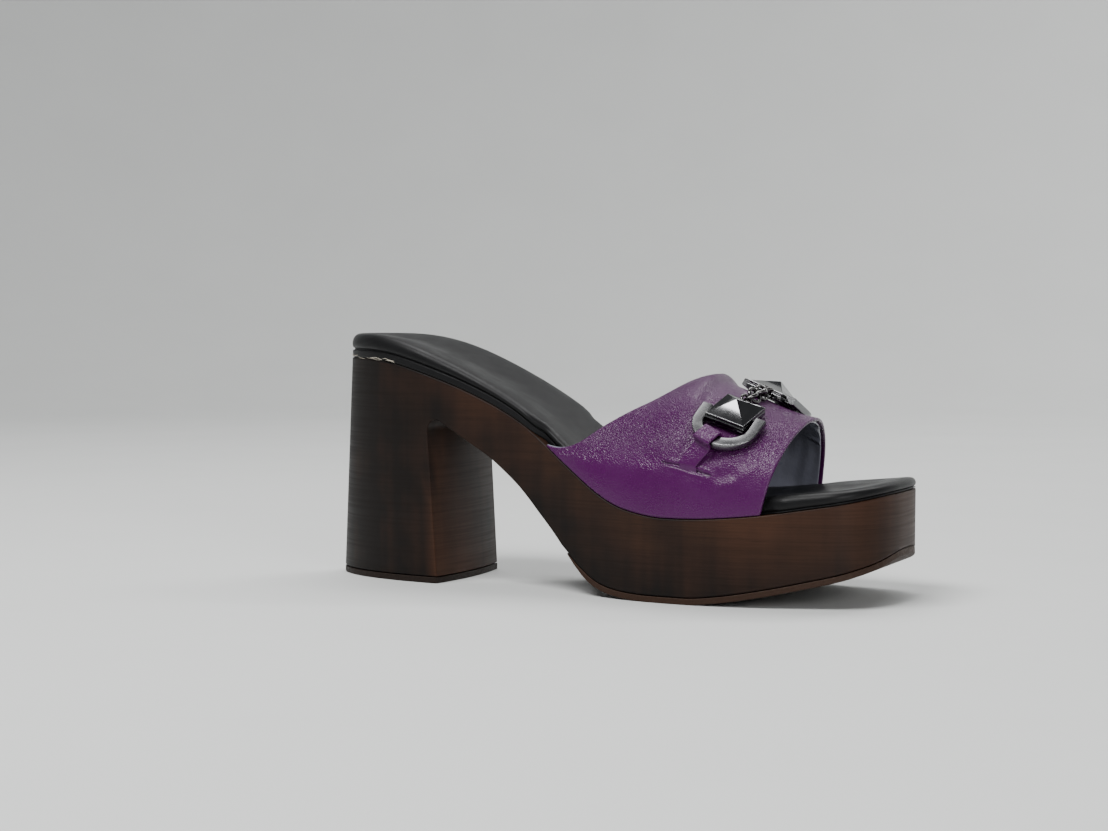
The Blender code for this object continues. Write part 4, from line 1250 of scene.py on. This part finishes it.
def make_strap(side, name, finish):
    """Leather tab: a rounded band carried along the tab's path, from inside the ring over its
    bar and down into the slit, a little narrower where it is pulled in."""
    path, width = tab_path(side)
    path = spline(np.concatenate([path, [path[-1] + (path[-1] - path[-2]) * 0.4]]), 8)
    width = spline(np.concatenate([width, width[-1:]]), 8)
    width /= np.linalg.norm(width, axis=1)[:, None]
    ahead = np.gradient(path, axis=0)
    out = np.cross(ahead, width)
    out /= np.linalg.norm(out, axis=1)[:, None]
    end = np.linspace(0, 1, len(path))
    sink = eased(end, 0.70, 1.0)[:, None] * TAB_THICKNESS * 1.35
    path = path - out * sink * np.sign(out[-1] @ vamp_normal(TAB_FOOT_ALONG, TAB_FOOT_ACROSS[side]))
    section = rounded_box(TAB_WIDTH, TAB_THICKNESS, TAB_THICKNESS / 2.6)
    narrow = 1 - 0.10 * eased(end, 0.55, 0.95)
    grid = path[:, None] + width[:, None] * section[:, :1] * narrow[:, None, None]
    grid = grid + out[:, None] * section[:, 1:]
    return grid_mesh(name, [grid] + end_caps(grid), [finish])


def make_slit_lip(side, name, finish):
    """Raised lip of the slit below the tab: a round bead along the slit's line, thinning to
    nothing at both ends."""
    start, end = SLIT[side]
    share = np.linspace(0, 1, 41)
    x = start[0] + (end[0] - start[0]) * share
    across = start[1] + (end[1] - start[1]) * share + 0.0016 * np.sin(share * 9) * side
    swelling = np.sin(math.pi * share) ** 0.5
    centre = vamp_point(x, across, -0.00012 * swelling)
    grid = tube(centre, circle(1.0, 10), False)
    grid = centre[:, None] + (grid - centre[:, None]) * (SLIT_BEAD * swelling + 0.00002)[:, None, None]
    return grid_mesh(name, [grid] + end_caps(grid), [finish])


def thread(path, radius):
    """Grid of a fine thread: a small hexagon carried along a path."""
    return tube(path, circle(radius, 6), False)


def make_frayed_threads(finish):
    """Loose fibres and dried glue along the joint of footbed and unit at the heel's outer side."""
    chance = np.random.default_rng(7)
    panels = []
    for _ in range(FRAYED_THREADS):
        x = chance.uniform(0.004, 0.036)
        ring = plan_loop(np.linspace(x, x + chance.uniform(0.002, 0.006), 5) , -0.00025, top_height)[:5]
        sway = np.cumsum(chance.normal(0, 0.00022, (5, 3)), axis=0)
        path = ring + (0, 0, 0.0006) + sway * (1, 0.4, 1)
        grid = thread(path, chance.uniform(0.00004, 0.00010))
        panels += [grid] + end_caps(grid)
    return grid_mesh("frayed_threads", panels, [finish])


WALL_BEARING = math.radians(113)


def make_floor(finish):
    """Studio sweep: a flat disc that curves up into a low wall behind the shoe only."""
    turn = np.linspace(0, 2 * math.pi, 97)
    rise = np.linspace(0, math.pi / 2, 17)
    radius = np.concatenate([[0.0, 0.4, 0.9], 1.3 + 0.9 * np.sin(rise), [2.2]])
    height = np.concatenate([[0.0, 0.0, 0.0], 0.9 * (1 - np.cos(rise)), [1.3]])
    behind = eased(np.cos(turn - WALL_BEARING), -0.2, 0.4)
    grid = np.stack([radius[:, None] * np.cos(turn) + ORIGIN_FROM_BACK, radius[:, None] * np.sin(turn),
                     height[:, None] * behind], -1)
    shown = grid_mesh("studio_floor", [grid], [finish])
    if shown.data.polygons[0].normal.z < 0:
        shown.data.flip_normals()


def softbox(name, place, aim, size, power, colour=(1, 1, 1)):
    """Rectangular soft light at a place, turned towards an aim."""
    data = bpy.data.lights.new(name, "AREA")
    data.shape = "RECTANGLE"
    data.size, data.size_y = size
    data.energy = power
    data.color = colour
    light = bpy.data.objects.new(name, data)
    light.location = place
    back = np.subtract(place, aim)
    flat = math.hypot(back[0], back[1])
    light.rotation_euler = (math.atan2(flat, back[2]), 0, math.atan2(back[0], -back[1]))
    bpy.context.scene.collection.objects.link(light)


def make_camera():
    """The photograph's view: a long lens a little above the floor, from the outer front side."""
    data = bpy.data.cameras.new("camera")
    data.sensor_width = 36.0
    data.lens = 68.88
    camera = bpy.data.objects.new("camera", data)
    camera.location = (0.4183, -0.7514, 0.1070)
    camera.rotation_euler = (math.radians(87.122), 0, math.radians(25.29))
    bpy.context.scene.collection.objects.link(camera)
    bpy.context.scene.camera = camera


def make_studio():
    make_camera()
    make_floor(plain_stuff("pale_paper", (0.66, 0.67, 0.66), 0.75, 9))
    world = bpy.data.worlds.new("studio")
    world.use_nodes = True
    world.node_tree.nodes["Background"].inputs["Color"].default_value = (0.92, 0.95, 1.0, 1)
    world.node_tree.nodes["Background"].inputs["Strength"].default_value = 0.12
    bpy.context.scene.world = world
    shoe = (0.09, 0.0, 0.04)
    softbox("key_softbox", (-0.10, -0.60, 1.12), shoe, (0.75, 0.50), 19)
    softbox("overhead_softbox", (-0.10, 0.62, 1.60), shoe, (1.2, 0.9), 20)
    softbox("mouth_softbox", (0.95, -0.80, 0.40), shoe, (0.4, 0.4), 5)
    softbox("backdrop_softbox", (0.80, 1.50, 1.70), (0.5, 2.1, 0.5), (0.8, 0.6), 24)


def main():
    make_studio()
    # the second finish, on the rounded edges, holds a little wear and painted shade at the unit's top
    unit = make_wooden_unit([burnished_wood("burnished_wood"), burnished_wood("wood_edge_wear_and_shade", 0.02)])
    stands_for(unit, "wooden_sole", "wooden_sole")
    stands_for(make_top_piece(tread_rubber("heel_rubber", (0.018, 0.011, 0.008))), "heel_top_piece", "heel_top_piece")
    stands_for(make_tread(tread_rubber("tread_rubber", (0.040, 0.020, 0.012))), "outsole", "outsole")
    footbed = stands_for(make_footbed(footbed_leather()), "insole", "insole")
    leather = purple_leather("purple_leather")
    upper = shell("vamp_leather", 0.0, 0.0, 0.0, LEATHER, leather_relief, leather)
    marked(upper, "shade", slit_shade)
    stands_for(upper, "vamp", "vamp")
    lining = shell("vamp_lining", LEATHER, -0.0003, 0.0014, VAMP_WALL - LEATHER, lambda at: 0 * at[..., 0],
                   crinkled_lining(), lining_relief)
    stands_for(lining, "vamp", "vamp")
    gunmetal = cast_metal("gunmetal", (0.20, 0.20, 0.205), 0.09, 0.15)
    satin = cast_metal("satin_nickel", (0.21, 0.21, 0.215), 0.20, 0.28)
    wire = cast_metal("dark_wire", (0.13, 0.127, 0.125), 0.14, 0.22)
    tab_leather = purple_leather("tab_leather", 0.5)
    for side, name in ((-1, "lateral"), (1, "medial")):
        stands_for(make_cap(side, f"cap_{name}", gunmetal), "stud_metal", f"stud_{name}")
        place = 0 if side < 0 else LINKS + 1
        eye = wire_ring(f"eye_{name}", EYE_RADIUS, EYE_WIRE, vamp_frame(STUD_SPACING / 2 - EYE_SINK, side),
                        link_roll(place), wire)
        stands_for(eye, "stud_metal", f"stud_{name}")
        stands_for(make_half_ring(side, f"half_ring_{name}", satin), "ring_metal", f"ring_{name}")
        stands_for(make_strap(side, f"strap_{name}", tab_leather), "tab_leather", f"tab_{name}")
        stands_for(make_slit_lip(side, f"slit_lip_{name}", tab_leather), "vamp")
    make_links(wire)
    stands_for(make_frayed_threads(plain_stuff("pale_thread", (0.55, 0.50, 0.42), 0.8, 400)), "insole")


main()
